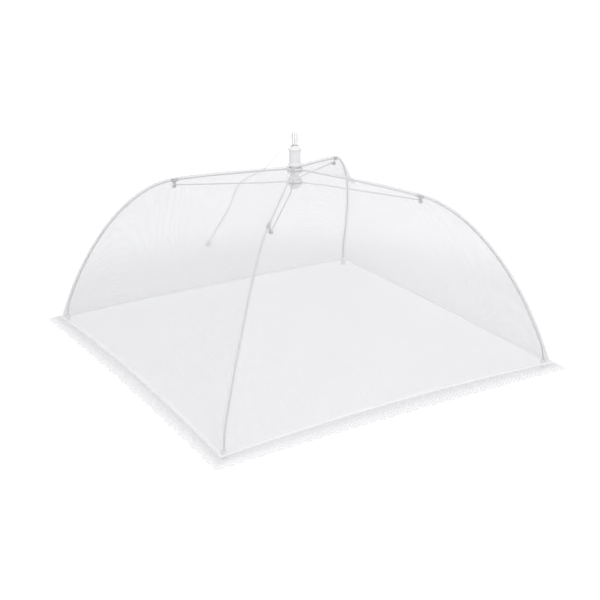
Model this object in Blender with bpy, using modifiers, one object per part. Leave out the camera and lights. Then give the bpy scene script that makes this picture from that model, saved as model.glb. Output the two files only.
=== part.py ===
"""Square mesh food cover that opens and folds like an umbrella.

Frame: metres, +Z up, the cover's sides along X and Y. The origin is on the table, under the hub.
Four wire ribs hinge on the crown's ring, four stretchers hinge on the runner's ring below it, and
each stretcher hooks on a rivet in a bracket on its rib. Pulling the cord brings runner and crown
together, and the runner's split rod then locks in the cap. Sizes below are in millimetres.
"""
import math

import bmesh
import bpy
import numpy as np
from mathutils import Matrix, Vector

MM = 0.001
GAP = 0.3

# Plan of the cover
HALF_FOOTPRINT = 215.0
CORNERS = ("front_left", "front_right", "back_right", "back_left")
SIDES = ("front", "right", "back", "left")
FIRST_CORNER_TURN = 225.0

# Ridge over each rib, as (distance from the axis, height), with its slopes in degrees
RIDGE_TOP = (8.0, 206.0)
RIDGE_TOP_SLOPE = 8.0
RIDGE_SHOULDER = (138.0, 185.0)
RIDGE_SHOULDER_SLOPE = 12.0
RIDGE_HEM = (283.4, 3.5)
RIDGE_HEM_SLOPE = 72.0
TOP_HANDLES = (43.0, 43.0)
LOWER_HANDLES = (55.0, 106.0)
RIDGE_SAMPLES = 200
SHARE_STEP = 0.005

# Sideways bow of a soft rib off its corner's diagonal, and the share of the ridge where it ends
RIB_BOWS = {"back_right": -18.0, "front_left": 7.5}
BOW_END = 0.935

# Net, tape and lace
NET_THICKNESS = 0.5
NET_ROWS = 19
NET_COLUMNS = 5
NET_ROW_CROWDING = 60.0
NET_COLUMN_CROWDING = 1.4
NET_BOW = 4.0
NET_LIFT = 5.0
NET_SAG = 23.0
RIDGE_CLEARANCE = 0.6
MIDDLE_CLEARANCE = 0.2
LAYER_OFFSET = 0.85
TAPE_HALF_WIDTH = 3.0
TAPE_START = 18.0
TAPE_END_HEIGHT = 9.5
TAPE_ROWS = 20
LACE_TOP_HEIGHT = 7.0
LACE_BOTTOM_HEIGHT = 0.8
LACE_ROWS = 2
LACE_COLUMNS = 20
RUFFLES_PER_HALF = 4
RUFFLE_DEPTH = 1.2

# Hub, turned about Z: radii and heights, and outlines as (radius, height), but the rod's tip as
# (radius, depth below its top)
RING_RADIUS = 7.0
RING_WIRE = 0.5
RIB_PIVOT_HEIGHT = 202.5
STRETCHER_PIVOT_HEIGHT = 189.0
CROWN_RADIUS = 8.5
CROWN_BOTTOM = 199.5
CROWN_TOP = 204.9
SPIGOT_RADIUS = 4.9
SPIGOT_TOP = 221.5
CROWN_BORE = 3.7
GROOVE_FLOOR = 6.2
GROOVE_HALF_HEIGHT = 0.8
RIB_SLOT_WIDTH = 2.8
STRETCHER_SLOT_WIDTH = 2.4
SLOT_FLOOR = 4.9
RUNNER_RADIUS = 8.0
RUNNER_BOTTOM = 185.0
RUNNER_SHOULDER = 192.0
RUNNER_NECK = 4.7
RUNNER_TOP = 199.1
RUNNER_BORE = 3.2
RUNNER_FOOT_RADIUS = 6.5
RUNNER_FOOT_HEIGHT = 1.5
STRETCHER_SLOT_BOTTOM = 186.5
ROD_RADIUS = 2.9
ROD_HEAD_RADIUS = 5.0
ROD_BOTTOM = 182.3
ROD_FLANGE_EDGE = 0.8
ROD_TOP = 244.0
ROD_TIP = ((2.4, 0.0), (3.1, 1.0), (3.1, 5.0), (3.4, 8.5), (ROD_RADIUS, 11.5))
SLIT_WIDTH = 0.8
SLIT_OFFSET = 1.35
SLIT_BOTTOM = 229.0
SLIT_TURN = -31.0
CAP_BOTTOM = 207.7
CAP_BORE = 3.8
CAP_NECK = ((4.3, 229.6), (5.0, 227.0))
CAP_WALL = ((6.8, 227.0), (7.4, 226.4), (7.3, 225.4), (6.5, 223.4), (6.4, 217.0), (6.5, 211.1),
            (7.2, 208.9), (7.4, 208.1), (7.0, CAP_BOTTOM))
PATCH_RADIUS = 14.0
PATCH_THICKNESS = 0.8

# Rib, bracket, stretcher and tip
RIB_INSET = 3.1
RIB_WIRE = 0.85
RIB_EYE_RADIUS = 1.7
RIB_EYE_WIDTH = 1.6
EYE_HOLE = 0.8
EYE_WALL_DEPTH = 0.4
RIB_POINTS = 28
RIB_LAST_RIDGE_HEIGHT = 24.0
TIP_RADIUS = 275.8
TIP_BEND = ((275.0, 13.0), (275.7, 8.5), (275.8, 3.2))
BRACKET_AT = 136.5
RIVET_HEIGHT = 175.5
BRACKET_LENGTH = 8.0
BRACKET_OUTER = 1.7
BRACKET_INNER = 1.15
TONGUE_SPAN = (0.9, 1.7)
TONGUE_RADIUS = 1.8
TONGUE_ROOT = 1.3
RIVET_RADIUS = 0.9
RIVET_HEAD_RADIUS = 1.6
RIVET_SPAN = (-0.1, 4.5)
RIVET_HEAD_THICKNESS = 0.7
STRETCHER_WIRE = 0.65
STRETCHER_EYE_RADIUS = 1.5
STRETCHER_EYE_WIDTH = 1.4
CRANK_OFFSET = 2.8
CRANK_SPAN = (14.0, 34.0)
HOOK_RADIUS = 1.9
HOOK_END_ANGLE = -40.0
TIP_CAP_RADIUS = 3.0
TIP_CAP_FLAT = 2.2
TIP_CAP_HEIGHT = 9.0
TIP_CAP_EDGE = 0.8
TIP_CAP_BORE = 1.2
POCKET_CENTRE = (274.0, 18.0)
POCKET_LENGTH = 9.0
POCKET_OUTER = 1.7
POCKET_INNER = 1.15

# Pull cord: points of its free fall from the rod's head, then where it lies on the back gore, as
# (x, y) in plan and the height of its centre line off the net
CORD_DIAMETER = 2.2
CORD_FALL = (
    (-0.5, 4.2, 240.6),
    (-1.5, 13.0, 231.7),
    (-2.7, 23.0, 221.5),
    (-3.8, 32.5, 211.6),
    (-4.8, 40.5, 203.6),
    (-5.8, 48.0, 197.1),
)
CORD_REST = (
    (-7.0, 56.0, 2.9),
    (-8.9, 66.0, 2.4),
    (-11.4, 77.0, 2.4),
    (-13.4, 87.0, 2.4),
    (-14.5, 95.0, 2.4),
    (-14.9, 103.0, 2.4),
    (-13.9, 111.0, 2.4),
    (-12.7, 118.0, 2.4),
    (-11.5, 125.0, 2.4),
    (-11.2, 132.0, 2.4),
    (-11.6, 139.0, 2.4),
    (-12.6, 146.0, 2.4),
    (-13.9, 153.0, 2.5),
    (-15.2, 160.0, 2.8),
    (-16.3, 166.5, 3.4),
    (-17.0, 172.5, 4.2),
)
CORD_STEPS = 12
CORD_POINTS = 52
GORE_SEARCH_STEPS = 24
KNOT_RADIUS = 3.4
KNOT_HALF_LENGTH = 3.6
KNOT_GAP = 0.4

SEGMENTS = 28
SMALL_SEGMENTS = 14
WIRE_RESOLUTION = 2


def bezier(p0, p1, p2, p3, count):
    """Points on a cubic curve, as an array with one row per point."""
    t = np.linspace(0.0, 1.0, count)[:, None]
    p0, p1, p2, p3 = (np.array(p) for p in (p0, p1, p2, p3))
    return (1 - t) ** 3 * p0 + 3 * (1 - t) ** 2 * t * p1 + 3 * (1 - t) * t**2 * p2 + t**3 * p3


def along(point, slope, distance):
    """The point at a distance down a slope given in degrees below the horizontal."""
    angle = math.radians(slope)
    return (point[0] + distance * math.cos(angle), point[1] - distance * math.sin(angle))


def resample(points, count):
    """Points evenly spaced along a polyline."""
    points = np.asarray(points, dtype=float)
    steps = np.linalg.norm(np.diff(points, axis=0), axis=1)
    reach = np.concatenate([[0.0], np.cumsum(steps)])
    wanted = np.linspace(0.0, reach[-1], count)
    return np.stack([np.interp(wanted, reach, column) for column in points.T], axis=1)


def ridge_line():
    """The ridge's (distance, height), from the cap's foot to the hem."""
    top = bezier(
        RIDGE_TOP,
        along(RIDGE_TOP, RIDGE_TOP_SLOPE, TOP_HANDLES[0]),
        along(RIDGE_SHOULDER, RIDGE_SHOULDER_SLOPE, -TOP_HANDLES[1]),
        RIDGE_SHOULDER,
        RIDGE_SAMPLES,
    )
    lower = bezier(
        RIDGE_SHOULDER,
        along(RIDGE_SHOULDER, RIDGE_SHOULDER_SLOPE, LOWER_HANDLES[0]),
        along(RIDGE_HEM, RIDGE_HEM_SLOPE, -LOWER_HANDLES[1]),
        RIDGE_HEM,
        RIDGE_SAMPLES,
    )
    return resample(np.concatenate([top, lower[1:]]), RIDGE_SAMPLES)


RIDGE = ridge_line()
REACH = np.concatenate([[0.0], np.cumsum(np.linalg.norm(np.diff(RIDGE, axis=0), axis=1))])


def ridge_share(height):
    """How far along the ridge, from 0 to 1, it has come down to a height."""
    return float(np.interp(-height, -RIDGE[:, 1], REACH)) / REACH[-1]


def ridge_at(share):
    """The ridge's (distance, height) at a share of its length."""
    wanted = share * REACH[-1]
    return np.array([np.interp(wanted, REACH, RIDGE[:, k]) for k in (0, 1)])


def bow_at(share, bow):
    """How far a rib's sideways bow takes it off its diagonal at a share of the ridge."""
    return bow * math.sin(math.pi * min(share / BOW_END, 1.0))


def gore_slope(share):
    """The slope below the horizontal, in radians, of a gore's flat middle line."""
    low, high = ridge_at(max(share - SHARE_STEP, 0.0)), ridge_at(min(share + SHARE_STEP, 1.0))
    return math.atan2(low[1] - high[1], (high[0] - low[0]) / math.sqrt(2.0))


def gore_point(share, across, bow=0.0):
    """A point on the front gore: share down the ridge, across from -1 at its left rib to 1.

    The net is drawn tight over the bent ribs, so it sags inwards between them, most of all halfway.
    A bow of the nearer rib takes the net's edge with it.
    """
    distance, height = ridge_at(share)
    half = distance / math.sqrt(2.0)
    slack = 1.0 - across**2
    sag = NET_SAG * math.sin(math.pi * share) ** 2 * slack
    slope = gore_slope(share)
    inward = NET_BOW * share**1.5 * slack + sag * math.sin(slope)
    lift = NET_LIFT * share**4 * slack - sag * math.cos(slope)
    aside = bow_at(share, bow) * across**2 * (3.0 - 2.0 * abs(across)) / math.sqrt(2.0)
    inward += math.copysign(aside, across * aside)
    return Vector((across * half + aside, inward - half, height + lift))


def gore_normal(share, across, bow=0.0):
    """The front gore's outward normal."""
    low, high = max(share - SHARE_STEP, 0.0), min(share + SHARE_STEP, 1.0)
    down = gore_point(high, across, bow) - gore_point(low, across, bow)
    left, right = max(across - SHARE_STEP, -1.0), min(across + SHARE_STEP, 1.0)
    over = gore_point(share, right, bow) - gore_point(share, left, bow)
    return down.cross(over).normalized()


def lace_point(share, x_side):
    """A point on the front lace: share from its sewn edge to its free edge, x_side as across."""
    top_share = ridge_share(LACE_TOP_HEIGHT)
    top_half = ridge_at(top_share)[0] / math.sqrt(2.0) + LAYER_OFFSET
    bottom_half = HALF_FOOTPRINT - NET_THICKNESS / 2 - RUFFLE_DEPTH
    half = top_half + (bottom_half - top_half) * share
    slack = 1.0 - x_side**2
    bow = NET_BOW * top_share**1.5 * slack
    top_height = LACE_TOP_HEIGHT + NET_LIFT * top_share**4 * slack
    height = top_height + (LACE_BOTTOM_HEIGHT - top_height) * share
    ruffle = RUFFLE_DEPTH * share * math.cos(2 * math.pi * RUFFLES_PER_HALF * x_side)
    return Vector((x_side * half, bow - half - ruffle, height + 0.5 * (ruffle + RUFFLE_DEPTH * share)))


def new_collection(name):
    collection = bpy.data.collections.new(name)
    bpy.context.scene.collection.children.link(collection)
    return collection


def new_material(name, colour, roughness, metallic=0.0):
    material = bpy.data.materials.new(name)
    material.use_nodes = True
    shader = material.node_tree.nodes["Principled BSDF"]
    shader.inputs["Base Color"].default_value = (*colour, 1.0)
    shader.inputs["Roughness"].default_value = roughness
    shader.inputs["Metallic"].default_value = metallic
    return material


def place(name, data, collection, material=None, matrix=Matrix(), parent=None):
    """Make an object of the data, standing at the matrix, and hang it on its joint's empty."""
    obj = bpy.data.objects.new(name, data)
    collection.objects.link(obj)
    if parent is not None:
        obj.parent = parent
        obj.matrix_parent_inverse = parent.matrix_basis.inverted()
    obj.matrix_basis = matrix
    if material is not None:
        obj.data.materials.clear()
        obj.data.materials.append(material)
    return obj


def joint_empty(name, collection, matrix, parent=None):
    """An empty on a joint's axis, which the pieces that move with it hang on."""
    empty = bpy.data.objects.new(name, None)
    empty.empty_display_size = 10 * MM
    collection.objects.link(empty)
    empty.matrix_basis = matrix
    if parent is not None:
        empty.parent = parent
        empty.matrix_parent_inverse = parent.matrix_basis.inverted()
    return empty


def corner_matrix(corner, distance=0.0, height=0.0):
    """Local X out along the corner's diagonal, Y sideways and Z up, from a point on the diagonal."""
    turn = Matrix.Rotation(math.radians(FIRST_CORNER_TURN + 90.0 * corner), 4, "Z")
    return turn @ Matrix.Translation(Vector((distance, 0.0, height)) * MM)


def sheet_mesh(name, rows):
    """A mesh of quads through rows of points in millimetres."""
    mesh = bpy.data.meshes.new(name)
    shape = bmesh.new()
    grid = [[shape.verts.new(point * MM) for point in row] for row in rows]
    for upper, lower in zip(grid, grid[1:]):
        for k in range(len(upper) - 1):
            shape.faces.new((upper[k], lower[k], lower[k + 1], upper[k + 1]))
    shape.normal_update()
    shape.to_mesh(mesh)
    shape.free()
    mesh.shade_smooth()
    return mesh


def thicken(obj, thickness):
    solid = obj.modifiers.new("cloth_thickness", "SOLIDIFY")
    solid.thickness = thickness * MM
    solid.offset = 0.0
    return obj


def turned_mesh(name, profile, segments=SEGMENTS, closed=True):
    """A profile of (radius, height) in millimetres, run down its outer side, turned about Z."""
    mesh = bpy.data.meshes.new(name)
    shape = bmesh.new()
    points = [shape.verts.new((radius * MM, 0.0, height * MM)) for radius, height in profile]
    for a, b in zip(points, points[1:]):
        shape.edges.new((a, b))
    if closed:
        shape.edges.new((points[-1], points[0]))
    shape.to_mesh(mesh)
    shape.free()
    obj = bpy.data.objects.new(name, mesh)
    bpy.context.scene.collection.objects.link(obj)
    screw = obj.modifiers.new("turn", "SCREW")
    screw.steps = segments
    screw.render_steps = segments
    screw.use_merge_vertices = True
    screw.merge_threshold = 0.00002
    return evaluated_mesh(obj, name)


def evaluated_mesh(obj, name):
    """The object's shape with its modifiers, as a plain mesh. The object is removed."""
    bpy.context.view_layer.update()
    graph = bpy.context.evaluated_depsgraph_get()
    mesh = bpy.data.meshes.new_from_object(obj.evaluated_get(graph))
    mesh.name = name
    old = obj.data
    bpy.data.objects.remove(obj)
    if isinstance(old, bpy.types.Curve):
        bpy.data.curves.remove(old)
    mesh.shade_smooth()
    mesh.set_sharp_from_angle(angle=math.radians(35.0))
    return mesh


def weld(mesh):
    """Join the loose caps of a shape that was made from a curve."""
    shape = bmesh.new()
    shape.from_mesh(mesh)
    bmesh.ops.remove_doubles(shape, verts=shape.verts, dist=0.00001)
    bmesh.ops.recalc_face_normals(shape, faces=shape.faces)
    shape.to_mesh(mesh)
    shape.free()


def wire_mesh(name, points, radius):
    """A round wire through points in millimetres, with its end caps welded."""
    curve = bpy.data.curves.new(name, "CURVE")
    curve.dimensions = "3D"
    curve.bevel_depth = radius * MM
    curve.bevel_resolution = WIRE_RESOLUTION
    curve.use_fill_caps = True
    spline = curve.splines.new("POLY")
    spline.points.add(len(points) - 1)
    for target, point in zip(spline.points, points):
        target.co = (*(Vector(point) * MM), 1.0)
    obj = bpy.data.objects.new(name, curve)
    bpy.context.scene.collection.objects.link(obj)
    mesh = evaluated_mesh(obj, name)
    weld(mesh)
    return mesh


def box_mesh(name, low, high):
    """A box between two corners, in millimetres."""
    mesh = bpy.data.meshes.new(name)
    low, high = Vector(low) * MM, Vector(high) * MM
    size = high - low
    shape = bmesh.new()
    bmesh.ops.create_cube(shape, size=1.0)
    bmesh.ops.scale(shape, vec=size, verts=shape.verts)
    bmesh.ops.translate(shape, vec=(low + high) / 2, verts=shape.verts)
    shape.to_mesh(mesh)
    shape.free()
    return mesh


def plate_mesh(name, outline, span):
    """A flat plate: an outline of (x, z) in millimetres, thick over a span of local Y."""
    curve = bpy.data.curves.new(name, "CURVE")
    curve.dimensions = "2D"
    curve.fill_mode = "BOTH"
    curve.extrude = (span[1] - span[0]) / 2 * MM
    spline = curve.splines.new("POLY")
    spline.points.add(len(outline) - 1)
    spline.use_cyclic_u = True
    for target, (x, z) in zip(spline.points, outline):
        target.co = (x * MM, z * MM, 0.0, 1.0)
    obj = bpy.data.objects.new(name, curve)
    bpy.context.scene.collection.objects.link(obj)
    mesh = evaluated_mesh(obj, name)
    weld(mesh)
    middle = Vector((0.0, (span[0] + span[1]) / 2, 0.0)) * MM
    mesh.transform(Matrix.Translation(middle) @ Matrix.Rotation(math.pi / 2, 4, "X"))
    return mesh


def pin_mesh(name, radius, span, centre=(0.0, 0.0), segments=SMALL_SEGMENTS):
    """A cylinder along local Y over a span, centred at (x, z), in millimetres."""
    mesh = bpy.data.meshes.new(name)
    shape = bmesh.new()
    bmesh.ops.create_cone(
        shape,
        cap_ends=True,
        segments=segments,
        radius1=radius * MM,
        radius2=radius * MM,
        depth=(span[1] - span[0]) * MM,
    )
    middle = Vector((centre[0], (span[0] + span[1]) / 2, centre[1])) * MM
    stand = Matrix.Translation(middle) @ Matrix.Rotation(math.pi / 2, 4, "X")
    bmesh.ops.transform(shape, matrix=stand, verts=shape.verts)
    shape.to_mesh(mesh)
    shape.free()
    return mesh


def shaped(name, base, steps):
    """A mesh after Boolean steps, each an operation and the mesh that it uses."""
    scene = bpy.context.scene.collection
    obj = bpy.data.objects.new(name, base)
    scene.objects.link(obj)
    tools = []
    for operation, mesh in steps:
        tool = bpy.data.objects.new(mesh.name, mesh)
        tool.hide_render = True
        tool.display_type = "WIRE"
        scene.objects.link(tool)
        boolean = obj.modifiers.new(mesh.name, "BOOLEAN")
        boolean.operation = operation
        boolean.object = tool
        boolean.solver = "EXACT"
        tools.append(tool)
    mesh = evaluated_mesh(obj, name)
    for tool in tools:
        bpy.data.objects.remove(tool)
    return mesh


def slots_mesh(name, width, bottom, top):
    """Four boxes along the diagonals, from the slots' floor outwards."""
    mesh = bpy.data.meshes.new(name)
    shape = bmesh.new()
    for corner in range(len(CORNERS)):
        box = box_mesh(name, (SLOT_FLOOR, -width / 2, bottom), (2 * CROWN_RADIUS, width / 2, top))
        before = len(shape.verts)
        shape.from_mesh(box)
        shape.verts.ensure_lookup_table()
        bmesh.ops.transform(shape, matrix=corner_matrix(corner), verts=shape.verts[before:])
        bpy.data.meshes.remove(box)
    shape.to_mesh(mesh)
    shape.free()
    return mesh


def groove(centre):
    """The outline of a ring's groove, run downwards, in a wall of the crown or the runner."""
    return [(GROOVE_FLOOR, centre + GROOVE_HALF_HEIGHT), (GROOVE_FLOOR, centre - GROOVE_HALF_HEIGHT)]


def crown_mesh():
    """The notched crown and the spigot that the cap sits on."""
    upper, lower = groove(RIB_PIVOT_HEIGHT)
    profile = [
        (CROWN_BORE, SPIGOT_TOP),
        (SPIGOT_RADIUS, SPIGOT_TOP),
        (SPIGOT_RADIUS, CROWN_TOP),
        (CROWN_RADIUS, CROWN_TOP),
        (CROWN_RADIUS, upper[1]),
        upper,
        lower,
        (CROWN_RADIUS, lower[1]),
        (CROWN_RADIUS, CROWN_BOTTOM),
        (CROWN_BORE, CROWN_BOTTOM),
    ]
    slots = slots_mesh("rib_slots", RIB_SLOT_WIDTH, CROWN_BOTTOM - 1.0, CROWN_TOP + 1.0)
    return shaped("crown", turned_mesh("crown", profile), [("DIFFERENCE", slots)])


def runner_mesh():
    """The notched runner and the neck that meets the crown."""
    upper, lower = groove(STRETCHER_PIVOT_HEIGHT)
    profile = [
        (RUNNER_BORE, RUNNER_TOP),
        (RUNNER_NECK, RUNNER_TOP),
        (RUNNER_NECK, RUNNER_SHOULDER),
        (RUNNER_RADIUS, RUNNER_SHOULDER),
        (RUNNER_RADIUS, upper[1]),
        upper,
        lower,
        (RUNNER_RADIUS, lower[1]),
        (RUNNER_RADIUS, RUNNER_BOTTOM + RUNNER_FOOT_HEIGHT),
        (RUNNER_FOOT_RADIUS, RUNNER_BOTTOM),
        (RUNNER_BORE, RUNNER_BOTTOM),
    ]
    slots = slots_mesh(
        "stretcher_slots", STRETCHER_SLOT_WIDTH, STRETCHER_SLOT_BOTTOM, RUNNER_SHOULDER + 1.0
    )
    return shaped("runner", turned_mesh("runner", profile), [("DIFFERENCE", slots)])


def lock_rod_mesh():
    """The rod through runner, crown and cap, with its flange below and its split head on top."""
    profile = [
        (0.0, ROD_TOP),
        *((radius, ROD_TOP - depth) for radius, depth in ROD_TIP),
        (ROD_RADIUS, RUNNER_BOTTOM - GAP),
        (ROD_HEAD_RADIUS, RUNNER_BOTTOM - GAP),
        (ROD_HEAD_RADIUS, ROD_BOTTOM + ROD_FLANGE_EDGE),
        (ROD_HEAD_RADIUS - ROD_FLANGE_EDGE, ROD_BOTTOM),
        (0.0, ROD_BOTTOM),
    ]
    slits = bpy.data.meshes.new("slits")
    shape = bmesh.new()
    for side in (-1, 1):
        low = side * SLIT_OFFSET - SLIT_WIDTH / 2
        box = box_mesh("slit", (low, -6.0, SLIT_BOTTOM), (low + SLIT_WIDTH, 6.0, ROD_TOP + 2.0))
        shape.from_mesh(box)
        bpy.data.meshes.remove(box)
    bmesh.ops.rotate(
        shape, verts=shape.verts, matrix=Matrix.Rotation(math.radians(SLIT_TURN), 3, "Z")
    )
    shape.to_mesh(slits)
    shape.free()
    return shaped("lock_rod", turned_mesh("lock_rod", profile, closed=False), [("DIFFERENCE", slits)])


def cap_mesh():
    """The waisted cap: flared rims at foot and top, and a small conical neck round the rod."""
    socket = SPIGOT_RADIUS + GAP
    profile = [
        (CAP_BORE, CAP_NECK[0][1]),
        *CAP_NECK,
        *CAP_WALL,
        (socket, CAP_BOTTOM),
        (socket, SPIGOT_TOP + GAP),
        (CAP_BORE, SPIGOT_TOP + GAP),
    ]
    return turned_mesh("cap", profile)


def apex_patch_mesh():
    """The round patch over the gores' tops, between net and cap."""
    inner = SPIGOT_RADIUS + GAP
    lift = NET_THICKNESS / 2 + GAP
    rise = RIDGE_TOP[1] + lift
    edge = rise - (PATCH_RADIUS - RIDGE_TOP[0]) * math.tan(math.radians(RIDGE_TOP_SLOPE))
    profile = [
        (inner, rise + PATCH_THICKNESS),
        (RIDGE_TOP[0], rise + PATCH_THICKNESS),
        (PATCH_RADIUS, edge + PATCH_THICKNESS),
        (PATCH_RADIUS, edge),
        (RIDGE_TOP[0], rise),
        (inner, rise),
    ]
    return turned_mesh("apex_patch", profile)


def ring_mesh(name):
    """A closed ring of wire that eyes swing on."""
    bpy.ops.mesh.primitive_torus_add(
        major_radius=RING_RADIUS * MM,
        minor_radius=RING_WIRE * MM,
        major_segments=24,
        minor_segments=6,
    )
    obj = bpy.context.active_object
    mesh = obj.data
    mesh.name = name
    bpy.data.objects.remove(obj)
    return mesh


def rib_line(bow=0.0):
    """The rib's centre line as (distance, height, sideways), a constant inset inside the ridge."""
    shares = np.linspace(0.0, ridge_share(RIB_LAST_RIDGE_HEIGHT), RIDGE_SAMPLES)
    ridge = np.array([ridge_at(share) for share in shares])
    tangent = np.gradient(ridge, axis=0)
    tangent /= np.linalg.norm(tangent, axis=1)[:, None]
    inward = np.stack([tangent[:, 1], -tangent[:, 0]], axis=1)
    line = np.column_stack([ridge + RIB_INSET * inward, [bow_at(share, bow) for share in shares]])
    line = line[line[:, 0] > RING_RADIUS + RIB_EYE_RADIUS]
    start = np.array([[RING_RADIUS, RIB_PIVOT_HEIGHT, 0.0]])
    tip = np.array([(*point, 0.0) for point in TIP_BEND])
    return np.concatenate([start, line, tip])


def from_pivot(line, height):
    """Points of a (distance, height, sideways) line, seen from the pivot at a height."""
    return [(distance - RING_RADIUS, sideways, z - height) for distance, z, sideways in line]


def rib_mesh(bow):
    """The rib's wire, with an eye for the crown's ring."""
    line = rib_line(bow)
    away = (line[1] - line[0]) / np.linalg.norm(line[1] - line[0])
    start = line[0] + away * (EYE_HOLE + EYE_WALL_DEPTH)
    bend = len(TIP_BEND)
    line = np.concatenate([resample([start, *line[1:-bend]], RIB_POINTS), line[-bend:]])
    wire = wire_mesh("rib_wire", from_pivot(line, RIB_PIVOT_HEIGHT), RIB_WIRE)
    half = RIB_EYE_WIDTH / 2
    eye = pin_mesh("rib_eye", RIB_EYE_RADIUS, (-half, half))
    hole = pin_mesh("rib_eye_hole", EYE_HOLE, (-2 * half, 2 * half))
    return shaped("rib", wire, [("UNION", eye), ("DIFFERENCE", hole)])


def stretcher_line(bow):
    """The stretcher's centre line, with its sideways crank and its lean towards a bowed rib."""
    pivot = np.array([RING_RADIUS, STRETCHER_PIVOT_HEIGHT])
    rivet = np.array([BRACKET_AT, RIVET_HEIGHT])
    hook_top = rivet + np.array([0.0, HOOK_RADIUS])
    away = (hook_top - pivot) / np.linalg.norm(hook_top - pivot)
    start = pivot + away * (EYE_HOLE + EYE_WALL_DEPTH)
    shares = np.concatenate([[0.0], np.linspace(0.06, 0.26, 6), [0.6, 0.95]])
    run = start + shares[:, None] * (hook_top - start)
    angles = np.radians(np.linspace(90.0, HOOK_END_ANGLE, 7))
    hook = rivet + HOOK_RADIUS * np.stack([np.cos(angles), np.sin(angles)], axis=1)
    line = np.concatenate([run, hook])
    ease = np.clip((line[:, 0] - CRANK_SPAN[0]) / (CRANK_SPAN[1] - CRANK_SPAN[0]), 0.0, 1.0)
    lean_span = (CRANK_SPAN[0], BRACKET_AT - 2 * HOOK_RADIUS)
    lean = np.interp(line[:, 0], lean_span, (0.0, rib_seat(BRACKET_AT, bow)[2]))
    return np.column_stack([line, CRANK_OFFSET * ease**2 * (3.0 - 2.0 * ease) + lean])


def stretcher_mesh(bow):
    """The stretcher's wire, with an eye for the runner's ring and an open hook for the rivet."""
    points = from_pivot(stretcher_line(bow), STRETCHER_PIVOT_HEIGHT)
    wire = wire_mesh("stretcher_wire", points, STRETCHER_WIRE)
    half = STRETCHER_EYE_WIDTH / 2
    eye = pin_mesh("stretcher_eye", STRETCHER_EYE_RADIUS, (-half, half))
    hole = pin_mesh("stretcher_eye_hole", EYE_HOLE, (-2 * half, 2 * half))
    return shaped("stretcher", wire, [("UNION", eye), ("DIFFERENCE", hole)])


def rib_seat(distance, bow):
    """The rib's height, drop per millimetre, sideways place and its change, at a distance."""
    line = rib_line(bow)
    (height, ahead), (sideways, beyond) = (
        np.interp((distance, distance + 1.0), line[:, 0], line[:, k]).tolist() for k in (1, 2)
    )
    return height, height - ahead, sideways, beyond - sideways


def sleeve_mesh(name, outer, inner, length):
    """A tube about Z, centred on its middle."""
    half = length / 2
    return turned_mesh(
        name, [(inner, half), (outer, half), (outer, -half), (inner, -half)], SMALL_SEGMENTS
    )


def on_rib(mesh, distance, height, slope):
    """Lay a tube that was made about Z along the rib, seen from the rib's pivot."""
    middle = Vector((distance - RING_RADIUS, 0.0, height - RIB_PIVOT_HEIGHT)) * MM
    mesh.transform(Matrix.Translation(middle) @ Matrix.Rotation(math.pi / 2 + slope, 4, "Y"))
    return mesh


def bracket_mesh(bow):
    """The clip crimped on the rib, with the tongue that holds the rivet."""
    height, slope, sideways, drift = rib_seat(BRACKET_AT, bow)
    clip = sleeve_mesh("bracket", BRACKET_OUTER, BRACKET_INNER, BRACKET_LENGTH)
    on_rib(clip, BRACKET_AT, height, math.atan(slope))
    x = BRACKET_AT - RING_RADIUS
    middle = Matrix.Translation((x * MM, 0.0, 0.0))
    clip.transform(middle @ Matrix.Rotation(math.atan(drift), 4, "Z") @ middle.inverted())
    rivet_z = RIVET_HEIGHT - RIB_PIVOT_HEIGHT
    root = height - RIB_PIVOT_HEIGHT - TONGUE_ROOT
    tilt = TONGUE_RADIUS * slope
    outline = [(x + TONGUE_RADIUS, root - tilt), (x - TONGUE_RADIUS, root + tilt)]
    for angle in np.radians(np.linspace(180.0, 360.0, 9)):
        outline.append((x + TONGUE_RADIUS * math.cos(angle), rivet_z + TONGUE_RADIUS * math.sin(angle)))
    tongue = plate_mesh("tongue", outline, TONGUE_SPAN)
    reach = (TONGUE_SPAN[0] - 1.0, TONGUE_SPAN[1] + 1.0)
    hole = pin_mesh("rivet_hole", RIVET_RADIUS + GAP, reach, (x, rivet_z))
    mesh = shaped("bracket", clip, [("UNION", tongue), ("DIFFERENCE", hole)])
    mesh.transform(Matrix.Translation((0.0, sideways * MM, 0.0)))
    return mesh


def rivet_mesh(bow):
    """The rivet through the tongue and the stretcher's hook, with a head at each end."""
    low, high = RIVET_SPAN
    head = RIVET_HEAD_THICKNESS
    profile = [
        (0.0, high),
        (RIVET_HEAD_RADIUS, high),
        (RIVET_HEAD_RADIUS, high - head),
        (RIVET_RADIUS, high - head),
        (RIVET_RADIUS, low + head),
        (RIVET_HEAD_RADIUS, low + head),
        (RIVET_HEAD_RADIUS, low),
        (0.0, low),
    ]
    mesh = turned_mesh("rivet", profile, SMALL_SEGMENTS, closed=False)
    sideways = rib_seat(BRACKET_AT, bow)[2]
    centre = Vector((BRACKET_AT - RING_RADIUS, sideways, RIVET_HEIGHT - RIB_PIVOT_HEIGHT)) * MM
    mesh.transform(Matrix.Translation(centre) @ Matrix.Rotation(-math.pi / 2, 4, "X"))
    return mesh


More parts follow.
